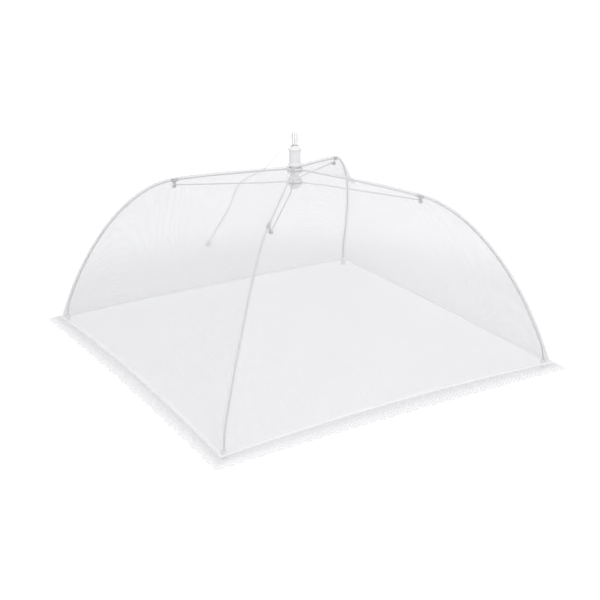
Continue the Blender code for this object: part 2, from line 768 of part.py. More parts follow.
def tip_cap_mesh():
    """The plastic cap on the rib's end, which stands on the table."""
    floor_of_bore = TIP_BEND[-1][1] - GAP
    profile = [
        (TIP_CAP_BORE, TIP_CAP_HEIGHT),
        (TIP_CAP_FLAT, TIP_CAP_HEIGHT),
        (TIP_CAP_RADIUS, TIP_CAP_HEIGHT - TIP_CAP_EDGE),
        (TIP_CAP_RADIUS, TIP_CAP_EDGE),
        (TIP_CAP_FLAT, 0.0),
        (0.0, 0.0),
    ]
    mesh = turned_mesh("rib_tip_cap", [(0.0, floor_of_bore), (TIP_CAP_BORE, floor_of_bore), *profile],
                       SMALL_SEGMENTS, closed=False)
    seat = Vector((TIP_RADIUS - RING_RADIUS, 0.0, -RIB_PIVOT_HEIGHT)) * MM
    mesh.transform(Matrix.Translation(seat))
    return mesh


def corner_pocket_mesh():
    """The sewn tube that holds the rib's end in the cover's corner."""
    bend = np.array(TIP_BEND[0])
    lean = math.atan2(POCKET_CENTRE[1] - bend[1], bend[0] - POCKET_CENTRE[0])
    mesh = sleeve_mesh("corner_pocket", POCKET_OUTER, POCKET_INNER, POCKET_LENGTH)
    return on_rib(mesh, *POCKET_CENTRE, lean)


def across_steps(half, end, count, crowding=1.0):
    """Across values from the rib's seam to the gore's middle, each held off by its clearance."""
    seam = 1.0 - RIDGE_CLEARANCE / half
    middle = MIDDLE_CLEARANCE / half
    shares = np.linspace(0.0, 1.0, count + 1) ** crowding
    return [end * value for value in seam + (middle - seam) * shares]


def net_row_shares():
    """Shares of the ridge for the net's rows, closer together where the ridge bends."""
    steps = np.diff(RIDGE, axis=0)
    turns = np.abs(np.gradient(np.arctan2(steps[:, 1], steps[:, 0])))
    weights = np.diff(REACH) + NET_ROW_CROWDING * turns
    passed = np.concatenate([[0.0], np.cumsum(weights)])
    return np.interp(np.linspace(0.0, passed[-1], NET_ROWS + 1), passed, REACH / REACH[-1])


def net_mesh(end, bow):
    """Half of the front gore, from the rib's seam to the middle: end is -1 at the left rib."""
    rows = []
    for share in net_row_shares():
        half = ridge_at(share)[0] / math.sqrt(2.0)
        steps = across_steps(half, end, NET_COLUMNS, NET_COLUMN_CROWDING)
        rows.append([gore_point(share, across, bow) for across in steps])
    return sheet_mesh("net_half", rows)


def lace_mesh(end):
    """Half of the front side's lace, from the corner to the middle."""
    rows = []
    for share in np.linspace(0.0, 1.0, LACE_ROWS + 1):
        half = -lace_point(share, 1.0).y
        rows.append([lace_point(share, across) for across in across_steps(half, end, LACE_COLUMNS)])
    return sheet_mesh("lace_half", rows)


def tape_mesh(bow):
    """The tape over the front-left ridge: a strip folded over it, outside the net."""
    first = float(np.interp(TAPE_START, RIDGE[:, 0], REACH)) / REACH[-1]
    last = ridge_share(TAPE_END_HEIGHT)
    turn = Matrix.Rotation(math.radians(-90.0), 3, "Z")
    rows = []
    for share in np.linspace(first, last, TAPE_ROWS + 1):
        half = ridge_at(share)[0] / math.sqrt(2.0)
        across = 1.0 - TAPE_HALF_WIDTH / half
        on_front, on_left = (
            gore_point(share, side, bow) + gore_normal(share, side, bow) * LAYER_OFFSET
            for side in (-across, across)
        )
        front_normal = gore_normal(share, -1.0, bow)
        left_normal = turn @ gore_normal(share, 1.0, bow)
        mitre = (front_normal + left_normal) / (1.0 + front_normal.dot(left_normal))
        fold = gore_point(share, -1.0, bow) + mitre * LAYER_OFFSET
        rows.append([on_front, fold, turn @ on_left])
    return sheet_mesh("seam_tape", rows)


def over_back_gore(x, y, lift):
    """The point at a lift off the back gore's net, in the net's own direction, over a plan (x, y)."""
    low, high = 0.0, 1.0
    for _ in range(GORE_SEARCH_STEPS):
        share = (low + high) / 2
        across = -x / (ridge_at(share)[0] / math.sqrt(2.0))
        point = gore_point(share, across) + gore_normal(share, across) * lift
        if -point.y < y:
            low = share
        else:
            high = share
    return Vector((-point.x, -point.y, point.z))


def cord_route():
    """The points that the cord's centre line passes, from the rod's head to the knot."""
    return [Vector(point) for point in CORD_FALL] + [over_back_gore(*rest) for rest in CORD_REST]


def cord_points():
    """The cord's centre line, read from a smooth curve through the route's points."""
    route = cord_route()
    ends = [2 * route[0] - route[1], *route, 2 * route[-1] - route[-2]]
    smooth = []
    for a, b, c, d in zip(ends, ends[1:], ends[2:], ends[3:]):
        for t in np.linspace(0.0, 1.0, CORD_STEPS, endpoint=False):
            smooth.append(0.5 * (2 * b + (c - a) * t + (2 * a - 5 * b + 4 * c - d) * t**2
                                 + (3 * b - a - 3 * c + d) * t**3))
    smooth.append(route[-1])
    return [tuple(point) for point in resample(smooth, CORD_POINTS)]


def knot_mesh():
    """The stopper knot at the cord's end, a barrel in line with the cord."""
    half = KNOT_HALF_LENGTH
    profile = [
        (0.0, half),
        (0.5 * KNOT_RADIUS, half),
        (0.88 * KNOT_RADIUS, 0.55 * half),
        (KNOT_RADIUS, 0.0),
        (0.88 * KNOT_RADIUS, -0.55 * half),
        (0.5 * KNOT_RADIUS, -half),
        (0.0, -half),
    ]
    mesh = turned_mesh("pull_cord_knot", profile, SMALL_SEGMENTS, closed=False)
    last, end = cord_route()[-2:]
    axis = (end - last).normalized()
    middle = (end + axis * (half + KNOT_GAP)) * MM
    mesh.transform(Matrix.Translation(middle) @ axis.to_track_quat("Z", "Y").to_matrix().to_4x4())
    return mesh


def other_word(corner, side):
    """The half of a corner's name that isn't the side's."""
    first, second = corner.split("_")
    return second if first == side else first


def ribbed_pieces(bow):
    """The pieces of one corner that follow its rib, and its two net halves."""
    return {
        "rib": rib_mesh(bow),
        "bracket": bracket_mesh(bow),
        "rivet": rivet_mesh(bow),
        "stretcher": stretcher_mesh(bow),
        "seam_tape": tape_mesh(bow),
        "net": {-1: net_mesh(-1, bow), 1: net_mesh(1, bow)},
    }


def build():
    for obj in list(bpy.data.objects):
        bpy.data.objects.remove(obj)
    cover = new_collection("mesh_food_cover")
    axes = new_collection("joint_axes")

    white_plastic = new_material("white_plastic", (0.84, 0.84, 0.85), 0.42)
    spring_wire = new_material("coated_spring_wire", (0.50, 0.50, 0.52), 0.35, 0.6)
    plated_steel = new_material("plated_steel", (0.28, 0.28, 0.29), 0.4, 0.8)
    net_cloth = new_material("net_cloth", (0.82, 0.82, 0.85), 0.8)
    lace_cloth = new_material("lace_cloth", (0.88, 0.88, 0.89), 0.85)
    tape_cloth = new_material("tape_cloth", (0.85, 0.85, 0.88), 0.8)
    cord_cloth = new_material("cord_cloth", (0.86, 0.86, 0.86), 0.8)

    runner_axis = joint_empty("runner_axis", axes, Matrix())
    crown_axis = joint_empty("crown_axis", axes, Matrix(), runner_axis)

    place("runner", runner_mesh(), cover, white_plastic, parent=runner_axis)
    place("lock_rod", lock_rod_mesh(), cover, white_plastic, parent=runner_axis)
    low = Matrix.Translation((0.0, 0.0, STRETCHER_PIVOT_HEIGHT * MM))
    place("runner_ring", ring_mesh("runner_ring"), cover, plated_steel, low, runner_axis)
    cord = wire_mesh("pull_cord", cord_points(), CORD_DIAMETER / 2)
    place("pull_cord", cord, cover, cord_cloth, parent=runner_axis)
    place("pull_cord_knot", knot_mesh(), cover, cord_cloth, parent=runner_axis)

    place("crown", crown_mesh(), cover, white_plastic, parent=crown_axis)
    place("cap", cap_mesh(), cover, white_plastic, parent=crown_axis)
    place("apex_patch", apex_patch_mesh(), cover, tape_cloth, parent=crown_axis)
    high = Matrix.Translation((0.0, 0.0, RIB_PIVOT_HEIGHT * MM))
    place("crown_ring", ring_mesh("crown_ring"), cover, plated_steel, high, crown_axis)

    tip, pocket, lace = tip_cap_mesh(), corner_pocket_mesh(), {-1: lace_mesh(-1), 1: lace_mesh(1)}
    straight = ribbed_pieces(0.0)
    for k, corner in enumerate(CORNERS):
        pieces = ribbed_pieces(RIB_BOWS[corner]) if corner in RIB_BOWS else straight
        rib_stand = corner_matrix(k, RING_RADIUS, RIB_PIVOT_HEIGHT)
        rib_pivot = joint_empty(f"rib_pivot_{corner}", axes, rib_stand, crown_axis)
        place(f"rib_{corner}", pieces["rib"], cover, spring_wire, rib_stand, rib_pivot)
        place(f"rib_tip_cap_{corner}", tip, cover, white_plastic, rib_stand, rib_pivot)
        place(f"corner_pocket_{corner}", pocket, cover, tape_cloth, rib_stand, rib_pivot)
        place(f"bracket_{corner}", pieces["bracket"], cover, plated_steel, rib_stand, rib_pivot)
        place(f"rivet_{corner}", pieces["rivet"], cover, plated_steel, rib_stand, rib_pivot)
        quarter = Matrix.Rotation(math.radians(90.0 * k), 4, "Z")
        seam = place(f"seam_tape_{corner}", pieces["seam_tape"], cover, tape_cloth, quarter, rib_pivot)
        thicken(seam, NET_THICKNESS)
        for end, side_index in ((-1, k), (1, (k - 1) % len(SIDES))):
            side = SIDES[side_index]
            turn = Matrix.Rotation(math.radians(90.0 * side_index), 4, "Z")
            label = f"{side}_{other_word(corner, side)}"
            gore = place(f"net_{label}", pieces["net"][end], cover, net_cloth, turn, rib_pivot)
            thicken(gore, NET_THICKNESS)
            hem = place(f"lace_{label}", lace[end], cover, lace_cloth, turn, rib_pivot)
            thicken(hem, NET_THICKNESS)

        stretcher_stand = corner_matrix(k, RING_RADIUS, STRETCHER_PIVOT_HEIGHT)
        pivot = joint_empty(f"stretcher_pivot_{corner}", axes, stretcher_stand, runner_axis)
        place(f"stretcher_{corner}", pieces["stretcher"], cover, spring_wire, stretcher_stand, pivot)


build()
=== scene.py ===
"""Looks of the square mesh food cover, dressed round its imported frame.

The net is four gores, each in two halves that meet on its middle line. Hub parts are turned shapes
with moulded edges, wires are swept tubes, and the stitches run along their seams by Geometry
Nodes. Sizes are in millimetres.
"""
import math

import bmesh
import bpy
import numpy as np
from mathutils import Matrix, Vector


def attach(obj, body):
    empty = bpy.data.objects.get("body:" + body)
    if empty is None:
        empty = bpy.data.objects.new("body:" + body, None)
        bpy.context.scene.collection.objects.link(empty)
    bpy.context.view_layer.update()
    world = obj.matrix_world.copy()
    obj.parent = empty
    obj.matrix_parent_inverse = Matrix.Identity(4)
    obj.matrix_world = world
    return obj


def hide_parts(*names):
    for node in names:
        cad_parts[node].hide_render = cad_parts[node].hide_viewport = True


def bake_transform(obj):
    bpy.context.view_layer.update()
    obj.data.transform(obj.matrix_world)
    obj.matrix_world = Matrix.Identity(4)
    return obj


MM = 0.001

# Plan of the cover
HALF_FOOTPRINT = 215.0
CORNERS = ("front_left", "front_right", "back_right", "back_left")
SIDES = ("front", "right", "back", "left")
FIRST_CORNER_TURN = 225.0

# Ridge over each rib, as (distance from the axis, height), with its slopes in degrees
RIDGE_TOP = (8.0, 206.0)
RIDGE_TOP_SLOPE = 8.0
RIDGE_SHOULDER = (138.0, 185.0)
RIDGE_SHOULDER_SLOPE = 12.0
RIDGE_HEM = (283.4, 3.5)
RIDGE_HEM_SLOPE = 72.0
TOP_HANDLES = (43.0, 43.0)
LOWER_HANDLES = (55.0, 106.0)
RIDGE_SAMPLES = 400
SHARE_STEP = 0.005

# Sideways bow of a soft rib off its corner's diagonal, and the share of the ridge where it ends
RIB_BOWS = {"back_right": -18.0, "front_left": 7.5}
BOW_END = 0.935

# Net, tape and lace
NET_BOW = 4.0
NET_LIFT = 5.0
NET_SAG = 23.0
NET_ROWS = 84
NET_COLUMNS = 52
NET_PITCH = 1.4
NET_THREAD = 0.36
NET_HAZE = 0.22
NET_COVER = 0.72
SLACK_DEPTH = 0.5
PUCKER_DEPTH = 0.8
PUCKER_REACH = 42.0
LAYER_OFFSET = 0.85
TAPE_HALF_WIDTH = 3.0
TAPE_START = 18.0
TAPE_END_HEIGHT = 9.5
TAPE_ROWS = 150
TAPE_PITCH = 1.2
TAPE_SEAM_IN = 0.6
FOLD_SINK = 0.25
LACE_TOP_HEIGHT = 7.0
LACE_BOTTOM_HEIGHT = 0.8
LACE_ROWS = 14
LACE_COLUMNS = 330
LACE_THICKNESS = 0.5
LACE_HAZE = 0.55
LACE_GROUND_PITCH = 1.5
SCALLOP_PITCH = 10.0
SCALLOP_SHARE = 0.11
# The fans' centre, in scallops below the sewn edge, and their ribs, as a wave per scallop
FAN_CENTRE = 0.85
FAN_RIBS = 26.0
GATHER_DEPTH = 1.6
SEWN_AT = 0.06
SEAM_REACH = 0.995
STITCH_PITCH = 2.6
STITCH_LENGTH = 1.9
THREAD_RADIUS = 0.16

# Hub, turned about Z: radii and heights
RING_RADIUS = 7.0
RING_WIRE = 0.5
RIB_PIVOT_HEIGHT = 202.5
STRETCHER_PIVOT_HEIGHT = 189.0
CROWN_RADIUS = 8.5
CROWN_BOTTOM = 199.5
CROWN_TOP = 204.9
SPIGOT_RADIUS = 4.9
SPIGOT_TOP = 221.5
CROWN_BORE = 3.7
GROOVE_FLOOR = 6.2
GROOVE_HALF_HEIGHT = 0.8
RIB_SLOT_WIDTH = 2.8
STRETCHER_SLOT_WIDTH = 2.4
SLOT_FLOOR = 4.9
RUNNER_RADIUS = 8.0
RUNNER_BOTTOM = 185.0
RUNNER_SHOULDER = 192.0
RUNNER_NECK = 4.7
RUNNER_TOP = 199.1
RUNNER_BORE = 3.2
RUNNER_FOOT_RADIUS = 6.5
RUNNER_FOOT_HEIGHT = 1.5
STRETCHER_SLOT_BOTTOM = 186.5
ROD_RADIUS = 2.9
ROD_HEAD_RADIUS = 5.0
ROD_BOTTOM = 182.3
ROD_FLANGE_EDGE = 0.8
ROD_TOP = 244.0
ROD_TIP = ((2.4, 0.0), (3.1, 1.0), (3.1, 5.0), (3.4, 8.5), (ROD_RADIUS, 11.5))
SLIT_WIDTH = 0.8
SLIT_OFFSET = 1.35
SLIT_BOTTOM = 229.0
SLIT_TURN = -31.0
CAP_BOTTOM = 207.7
CAP_BORE = 3.8
CAP_NECK = ((4.3, 229.6), (5.0, 227.0))
CAP_WALL = ((6.8, 227.0), (7.4, 226.4), (7.3, 225.4), (6.5, 223.4), (6.4, 217.0), (6.5, 211.1),
            (7.2, 208.9), (7.4, 208.1), (7.0, CAP_BOTTOM))
PATCH_RADIUS = 14.0
PATCH_THICKNESS = 0.8
FIT_GAP = 0.3
NET_HALF_THICKNESS = 0.25
MOULD_EDGE = 0.35

# Rib, bracket, stretcher and tip
RIB_INSET = 3.1
RIB_WIRE = 0.85
RIB_EYE_RADIUS = 1.7
RIB_EYE_WIDTH = 1.6
EYE_HOLE = 0.8
EYE_EDGE = 0.25
EYE_WALL_DEPTH = 0.4
RIB_POINTS = 130
RIB_LAST_RIDGE_HEIGHT = 24.0
TIP_RADIUS = 275.8
TIP_BEND = ((275.0, 13.0), (275.7, 8.5), (275.8, 3.2))
BRACKET_AT = 136.5
RIVET_HEIGHT = 175.5
BRACKET_LENGTH = 8.0
BRACKET_OUTER = 1.7
BRACKET_INNER = 1.15
TONGUE_SPAN = (0.9, 1.7)
TONGUE_RADIUS = 1.8
TONGUE_ROOT = 1.3
RIVET_RADIUS = 0.9
RIVET_HEAD_RADIUS = 1.6
RIVET_SPAN = (-0.1, 4.5)
RIVET_HEAD_THICKNESS = 0.7
STRETCHER_WIRE = 0.65
STRETCHER_EYE_RADIUS = 1.5
STRETCHER_EYE_WIDTH = 1.4
CRANK_OFFSET = 2.8
CRANK_SPAN = (14.0, 34.0)
HOOK_RADIUS = 1.9
HOOK_END_ANGLE = -40.0
TIP_CAP_RADIUS = 3.0
TIP_CAP_FLAT = 2.2
TIP_CAP_HEIGHT = 9.0
TIP_CAP_EDGE = 0.8
TIP_CAP_BORE = 1.2
POCKET_CENTRE = (274.0, 18.0)
POCKET_LENGTH = 9.0
POCKET_OUTER = 1.7
POCKET_INNER = 1.15

# Pull cord: points of its free fall from the rod's head, then where it lies on the back gore, as
# (x, y) in plan and the height of its centre line off the net
CORD_DIAMETER = 2.2
CORD_FALL = (
    (-0.5, 4.2, 240.6),
    (-1.5, 13.0, 231.7),
    (-2.7, 23.0, 221.5),
    (-3.8, 32.5, 211.6),
    (-4.8, 40.5, 203.6),
    (-5.8, 48.0, 197.1),
)
CORD_REST = (
    (-7.0, 56.0, 2.9),
    (-8.9, 66.0, 2.4),
    (-11.4, 77.0, 2.4),
    (-13.4, 87.0, 2.4),
    (-14.5, 95.0, 2.4),
    (-14.9, 103.0, 2.4),
    (-13.9, 111.0, 2.4),
    (-12.7, 118.0, 2.4),
    (-11.5, 125.0, 2.4),
    (-11.2, 132.0, 2.4),
    (-11.6, 139.0, 2.4),
    (-12.6, 146.0, 2.4),
    (-13.9, 153.0, 2.5),
    (-15.2, 160.0, 2.8),
    (-16.3, 166.5, 3.4),
    (-17.0, 172.5, 4.2),
)
CORD_STEPS = 16
CORD_POINTS = 240
GORE_SEARCH_STEPS = 24
KNOT_TURNS = 3
KNOT_HALF_LENGTH = 3.6
KNOT_GAP = 0.4
STRAND_TURN = 32.0
STRAND_PITCH = 0.9

# Camera and light
CAMERA_TARGET = (0.0, 0.0, 98.7)
CAMERA_DISTANCE = 1318.9
CAMERA_AZIMUTH = -31.357
CAMERA_ELEVATION = 19.313
CAMERA_LENS = 71.68
CAMERA_SHIFT = (0.0088, -0.0652)
FLOOR_HALF_SIZE = 6000.0
SWEEP_SPAN = (300.0, 460.0)
SWEEP_GLOW = (0.455, 0.7)
HEM_GLOW = 0.06
HEM_GLOW_END = 250.0
ROOM_LIGHT = 0.62
ROOM_SEEN = 1.2

ROUND_SIDES = 96
RING_SIDES = 12
SMALL_SIDES = 40
WIRE_SIDES = 14
CORD_SIDES = 16


# Colour, nodes and materials


def linear(hex_colour):
    """An sRGB hex colour as the linear values that a shader takes."""
    channels = [int(hex_colour[k : k + 2], 16) / 255.0 for k in (1, 3, 5)]
    return (*(c / 12.92 if c <= 0.04045 else ((c + 0.055) / 1.055) ** 2.4 for c in channels), 1.0)


def node(tree, kind, inputs=None, **settings):
    """Add a node with its settings, and fill its inputs with values or with other nodes."""
    made = tree.nodes.new(kind)
    for key, value in settings.items():
        setattr(made, key, value)
    for key, value in (inputs or {}).items():
        socket = made.inputs[key]
        if isinstance(value, bpy.types.Node):
            value = next(output for output in value.outputs if output.enabled)
        if isinstance(value, bpy.types.NodeSocket):
            tree.links.new(value, socket)
        else:
            socket.default_value = value
    return made


def per(size):
    """A texture's scale, for features of a size in millimetres."""
    return 1.0 / (size * MM)


def new_material(name):
    """A material with no nodes yet, and its tree."""
    material = bpy.data.materials.new(name)
    material.use_nodes = True
    material.node_tree.nodes.clear()
    return material, material.node_tree


def surfaced(material, shader):
    """The material, with a shader on its surface."""
    node(material.node_tree, "ShaderNodeOutputMaterial", {"Surface": shader})
    return material


def object_place(tree):
    """Where a point lies on the whole cover, in metres."""
    return node(tree, "ShaderNodeTexCoord").outputs["Object"]


def flat_place(tree):
    """Where a point lies on its piece's flat map, in metres."""
    return node(tree, "ShaderNodeUVMap", uv_map="UVMap").outputs["UV"]


def noise(tree, place, scale, detail):
    """Cloudy noise."""
    return node(tree, "ShaderNodeTexNoise", {"Vector": place, "Scale": scale, "Detail": detail})


def tinted(tree, share, low, high):
    """A colour between two sRGB colours."""
    ends = {"Factor": share, "A": linear(low), "B": linear(high)}
    return node(tree, "ShaderNodeMix", ends, data_type="RGBA")


def spread(tree, value, old, new=(0.0, 1.0), kind="LINEAR"):
    """A value moved from its old range to a new one."""
    ends = {"From Min": old[0], "From Max": old[1], "To Min": new[0], "To Max": new[1]}
    return node(tree, "ShaderNodeMapRange", {"Value": value, **ends}, interpolation_type=kind)


def bumped(tree, height, strength, depth):
    """A surface raised by a pattern, to a depth in millimetres."""
    return node(tree, "ShaderNodeBump", {"Height": height, "Strength": strength, "Distance": depth * MM})


def maths(tree, operation, *values):
    """A number worked out from others."""
    return node(tree, "ShaderNodeMath", dict(enumerate(values)), operation=operation)


def vectors(tree, operation, *values):
    """A vector, or a number, worked out from vectors."""
    return node(tree, "ShaderNodeVectorMath", dict(enumerate(values)), operation=operation)


def mixed(tree, share, first, second):
    """Two shaders, with a share of the second."""
    return node(tree, "ShaderNodeMixShader", {"Fac": share, 1: first, 2: second})


def principled(tree, colour, roughness, bump, more):
    """A solid surface's shader, with more of its sockets set."""
    sockets = {"Base Color": colour, "Roughness": roughness, "Normal": bump, **more}
    return node(tree, "ShaderNodeBsdfPrincipled", sockets)


def moulded_polypropylene(name, pale, deep):
    """Injection-moulded polypropylene: milky, half gloss, with a faint ripple from the mould."""
    material, tree = new_material(name)
    cloud = noise(tree, object_place(tree), per(6.0), 3.0)
    ripple = noise(tree, object_place(tree), per(0.7), 2.0)
    gloss = spread(tree, cloud, (0.0, 1.0), (0.3, 0.46))
    bump = bumped(tree, ripple, 0.25, 0.02)
    colour = tinted(tree, cloud, pale, deep)
    return surfaced(material, principled(tree, colour, gloss, bump, {"IOR": 1.49}))


def metal(material, tree, pattern, colours, gloss, bump):
    """A plated metal's colour, gloss and bumps, all from one pattern."""
    colour = tinted(tree, pattern, *colours)
    roughness = spread(tree, pattern, (0.0, 1.0), gloss)
    shader = principled(tree, colour, roughness, bumped(tree, pattern, *bump), {"Metallic": 0.9})
    return surfaced(material, shader)


def drawn_spring_wire():
    """Drawn spring steel wire with a thin grey plating: fine scratches run along the wire."""
    material, tree = new_material("drawn_plated_spring_wire")
    streaks = node(tree, "ShaderNodeMapping",
                   {"Vector": flat_place(tree), "Scale": (per(0.25), per(14.0), 1.0)})
    scratch = noise(tree, streaks, 1.0, 4.0)
    return metal(material, tree, scratch, ("#C0C0C3", "#D6D6D9"), (0.26, 0.5), (0.3, 0.02))


def stamped_plated_steel():
    """Stamped and tumbled steel with a dull plating: mottled in colour and gloss."""
    material, tree = new_material("stamped_plated_steel")
    mottle = noise(tree, object_place(tree), per(1.1), 5.0)
    return metal(material, tree, mottle, ("#A4A4A8", "#C0C0C4"), (0.3, 0.58), (0.35, 0.04))


def hexagon_distance(tree, place, pitch):
    """How far a point lies from its hexagonal cell's centre: 0 there, and 0.5 on the cell's sides."""
    half = (0.5, 0.5 * math.sqrt(3.0), 0.5)
    low = tuple(-size for size in half)
    scaled = node(tree, "ShaderNodeVectorMath", {0: place, "Scale": per(pitch)}, operation="SCALE")
    even = vectors(tree, "WRAP", scaled, half, low)
    odd = vectors(tree, "WRAP", vectors(tree, "ADD", scaled, half), half, low)
    nearer = maths(tree, "LESS_THAN", vectors(tree, "LENGTH", odd), vectors(tree, "LENGTH", even))
    cell = node(tree, "ShaderNodeMix", {"Factor": nearer, "A": even, "B": odd}, data_type="VECTOR")
    folded = vectors(tree, "ABSOLUTE", cell)
    slanted = vectors(tree, "DOT_PRODUCT", folded, (0.5, 0.5 * math.sqrt(3.0), 0.0))
    straight = node(tree, "ShaderNodeSeparateXYZ", {0: folded}).outputs["X"]
    return maths(tree, "MAXIMUM", slanted, straight)


def cloth_shader(tree, colour, roughness, bump, through):
    """Thread that is lit in front and lets some light through from behind."""
    front = principled(tree, colour, roughness, bump, {"Sheen Weight": 0.15, "Sheen Roughness": 0.5})
    back = node(tree, "ShaderNodeBsdfTranslucent", {"Color": colour})
    return mixed(tree, through, front, back)


def open_cloth(tree, cover, cloth):
    """Cloth that covers only a share of its place, with holes between."""
    return mixed(tree, cover, node(tree, "ShaderNodeBsdfTransparent"), cloth)


def knitted_net():
    """Knitted polyester net: round white threads about six-sided holes.

    The real holes are too fine to show here, so they are drawn coarser, at NET_PITCH, and part of
    the cover that the finer threads give is spread over the holes as an even haze.
    """
    material, tree = new_material("knitted_polyester_net")
    place = flat_place(tree)
    edge = hexagon_distance(tree, place, NET_PITCH)
    half = NET_THREAD / NET_PITCH / 2.0
    sides = (0.5 - 1.3 * half, 0.5 - 0.7 * half)
    thread = spread(tree, edge, sides, (NET_HAZE, NET_COVER), "SMOOTHSTEP")
    height = spread(tree, edge, (0.5 - half, 0.5), kind="SMOOTHSTEP")
    tint = tinted(tree, noise(tree, place, per(38.0), 2.0), "#F0F0F2", "#EAEAEC")
    cloth = cloth_shader(tree, tint, 0.7, bumped(tree, height, 0.5, 0.2), 0.35)
    return surfaced(material, open_cloth(tree, thread, cloth))


def knitted_tape():
    """Thin knitted polyester binding: open enough for the rib to show, with a denser selvedge."""
    material, tree = new_material("knitted_binding_tape")
    place = flat_place(tree)
    edge = hexagon_distance(tree, place, TAPE_PITCH)
    thread = spread(tree, edge, (0.4, 0.48), (0.0, 0.45), "SMOOTHSTEP")
    side = node(tree, "ShaderNodeSeparateXYZ", {0: place}).outputs["X"]
    border = ((TAPE_HALF_WIDTH - 1.0) * MM, (TAPE_HALF_WIDTH - 0.7) * MM)
    selvedge = spread(tree, maths(tree, "ABSOLUTE", side), border, (0.0, 0.3))
    bump = bumped(tree, edge, 0.4, 0.12)
    cloth = cloth_shader(tree, linear("#FEFEFE"), 0.75, bump, 0.45)
    return surfaced(material, open_cloth(tree, maths(tree, "MAXIMUM", thread, selvedge), cloth))


def raschel_lace():
    """Machine-made polyester lace: a net ground, fans over each scallop and a dense sewn top band.

    Below the sewn band it is painted grey, as shade from its gathers, and it opens to its free edge.
    """
    material, tree = new_material("raschel_polyester_lace")
    place = flat_place(tree)
    edge = hexagon_distance(tree, place, LACE_GROUND_PITCH)
    ground = spread(tree, edge, (0.33, 0.42), (LACE_HAZE, 1.0))
    parts = node(tree, "ShaderNodeSeparateXYZ", {0: place})
    along, down = (maths(tree, "MULTIPLY", parts.outputs[axis], per(SCALLOP_PITCH)) for axis in "XY")
    in_scallop = node(tree, "ShaderNodeCombineXYZ", {"X": maths(tree, "WRAP", along, 0.5, -0.5), "Y": down})
    from_fan = vectors(tree, "DISTANCE", in_scallop, (0.0, FAN_CENTRE, 0.0))
    ribs = maths(tree, "SINE", maths(tree, "MULTIPLY", from_fan, FAN_RIBS))
    fan = spread(tree, ribs, (-0.2, 0.4))
    band = spread(tree, down, (0.3, 0.22))
    solid = maths(tree, "MAXIMUM", maths(tree, "MAXIMUM", fan, ground), band)
    open_edge = spread(tree, down, (0.35, 1.2), (1.0, 0.35))
    # Painted shade: the lace is grey below its white sewn band, standing in for the shadow in its gathers.
    painted_gather_shade = tinted(tree, band, "#E6E6E8", "#FEFEFE")
    cloth = cloth_shader(tree, painted_gather_shade, 0.75, bumped(tree, solid, 0.3, 0.25), 0.65)
    return surfaced(material, open_cloth(tree, maths(tree, "MULTIPLY", solid, open_edge), cloth))


def braided_cord():
    """Braided polyester cord: two crossing sets of strands, soft and matt."""
    material, tree = new_material("braided_polyester_cord")
    crossing = []
    for turn in (STRAND_TURN, -STRAND_TURN):
        slanted = node(tree, "ShaderNodeMapping",
                       {"Vector": flat_place(tree), "Rotation": (0.0, 0.0, math.radians(turn))})
        wave = {"Vector": slanted, "Scale": math.pi / 10.0 * per(STRAND_PITCH)}
        crossing.append(node(tree, "ShaderNodeTexWave", wave, bands_direction="X"))
    strands = maths(tree, "MAXIMUM", *crossing)
    tint = tinted(tree, strands, "#F8F8F9", "#FEFEFE")
    return surfaced(material, cloth_shader(tree, tint, 0.8, bumped(tree, strands, 0.4, 0.15), 0.75))


def sewing_thread():
    """Spun polyester sewing thread: twisted, matt and bright white."""
    material, tree = new_material("spun_sewing_thread")
    fuzz = noise(tree, object_place(tree), per(0.3), 3.0)
    tint = tinted(tree, fuzz, "#F6F6F7", "#FEFEFE")
    return surfaced(material, principled(tree, tint, 0.7, bumped(tree, fuzz, 0.4, 0.05), {}))


# Lines and surfaces of the cover


def bezier(p0, p1, p2, p3, count):
    """Points on a cubic curve, as an array with one row per point."""
    t = np.linspace(0.0, 1.0, count)[:, None]
    p0, p1, p2, p3 = (np.array(p) for p in (p0, p1, p2, p3))
    return (1 - t) ** 3 * p0 + 3 * (1 - t) ** 2 * t * p1 + 3 * (1 - t) * t**2 * p2 + t**3 * p3


def along(point, slope, distance):
    """The point at a distance down a slope given in degrees below the horizontal."""
    angle = math.radians(slope)
    return (point[0] + distance * math.cos(angle), point[1] - distance * math.sin(angle))


def reach_of(points):
    """How far along a polyline each of its points lies."""
    steps = np.linalg.norm(np.diff(points, axis=0), axis=1)
    return np.concatenate([[0.0], np.cumsum(steps)])


def resample(points, count):
    """Points evenly spaced along a polyline."""
    points = np.asarray(points, dtype=float)
    reach = reach_of(points)
    wanted = np.linspace(0.0, reach[-1], count)
    return np.stack([np.interp(wanted, reach, column) for column in points.T], axis=1)


def ridge_line():
    """The ridge's (distance, height), from the cap's foot to the hem."""
    top = bezier(
        RIDGE_TOP,
        along(RIDGE_TOP, RIDGE_TOP_SLOPE, TOP_HANDLES[0]),
        along(RIDGE_SHOULDER, RIDGE_SHOULDER_SLOPE, -TOP_HANDLES[1]),
        RIDGE_SHOULDER,
        RIDGE_SAMPLES,
    )
    lower = bezier(
        RIDGE_SHOULDER,
        along(RIDGE_SHOULDER, RIDGE_SHOULDER_SLOPE, LOWER_HANDLES[0]),
        along(RIDGE_HEM, RIDGE_HEM_SLOPE, -LOWER_HANDLES[1]),
        RIDGE_HEM,
        RIDGE_SAMPLES,
    )
    return resample(np.concatenate([top, lower[1:]]), RIDGE_SAMPLES)


RIDGE = ridge_line()
REACH = reach_of(RIDGE)
GORE_REACH = reach_of(RIDGE * np.array([1.0 / math.sqrt(2.0), 1.0]))


def ridge_share(height):
    """How far along the ridge, from 0 to 1, it has come down to a height."""
    return float(np.interp(-height, -RIDGE[:, 1], REACH)) / REACH[-1]


def ridge_at(share):
    """The ridge's (distance, height) at a share of its length."""
    wanted = share * REACH[-1]
    return np.array([np.interp(wanted, REACH, RIDGE[:, k]) for k in (0, 1)])


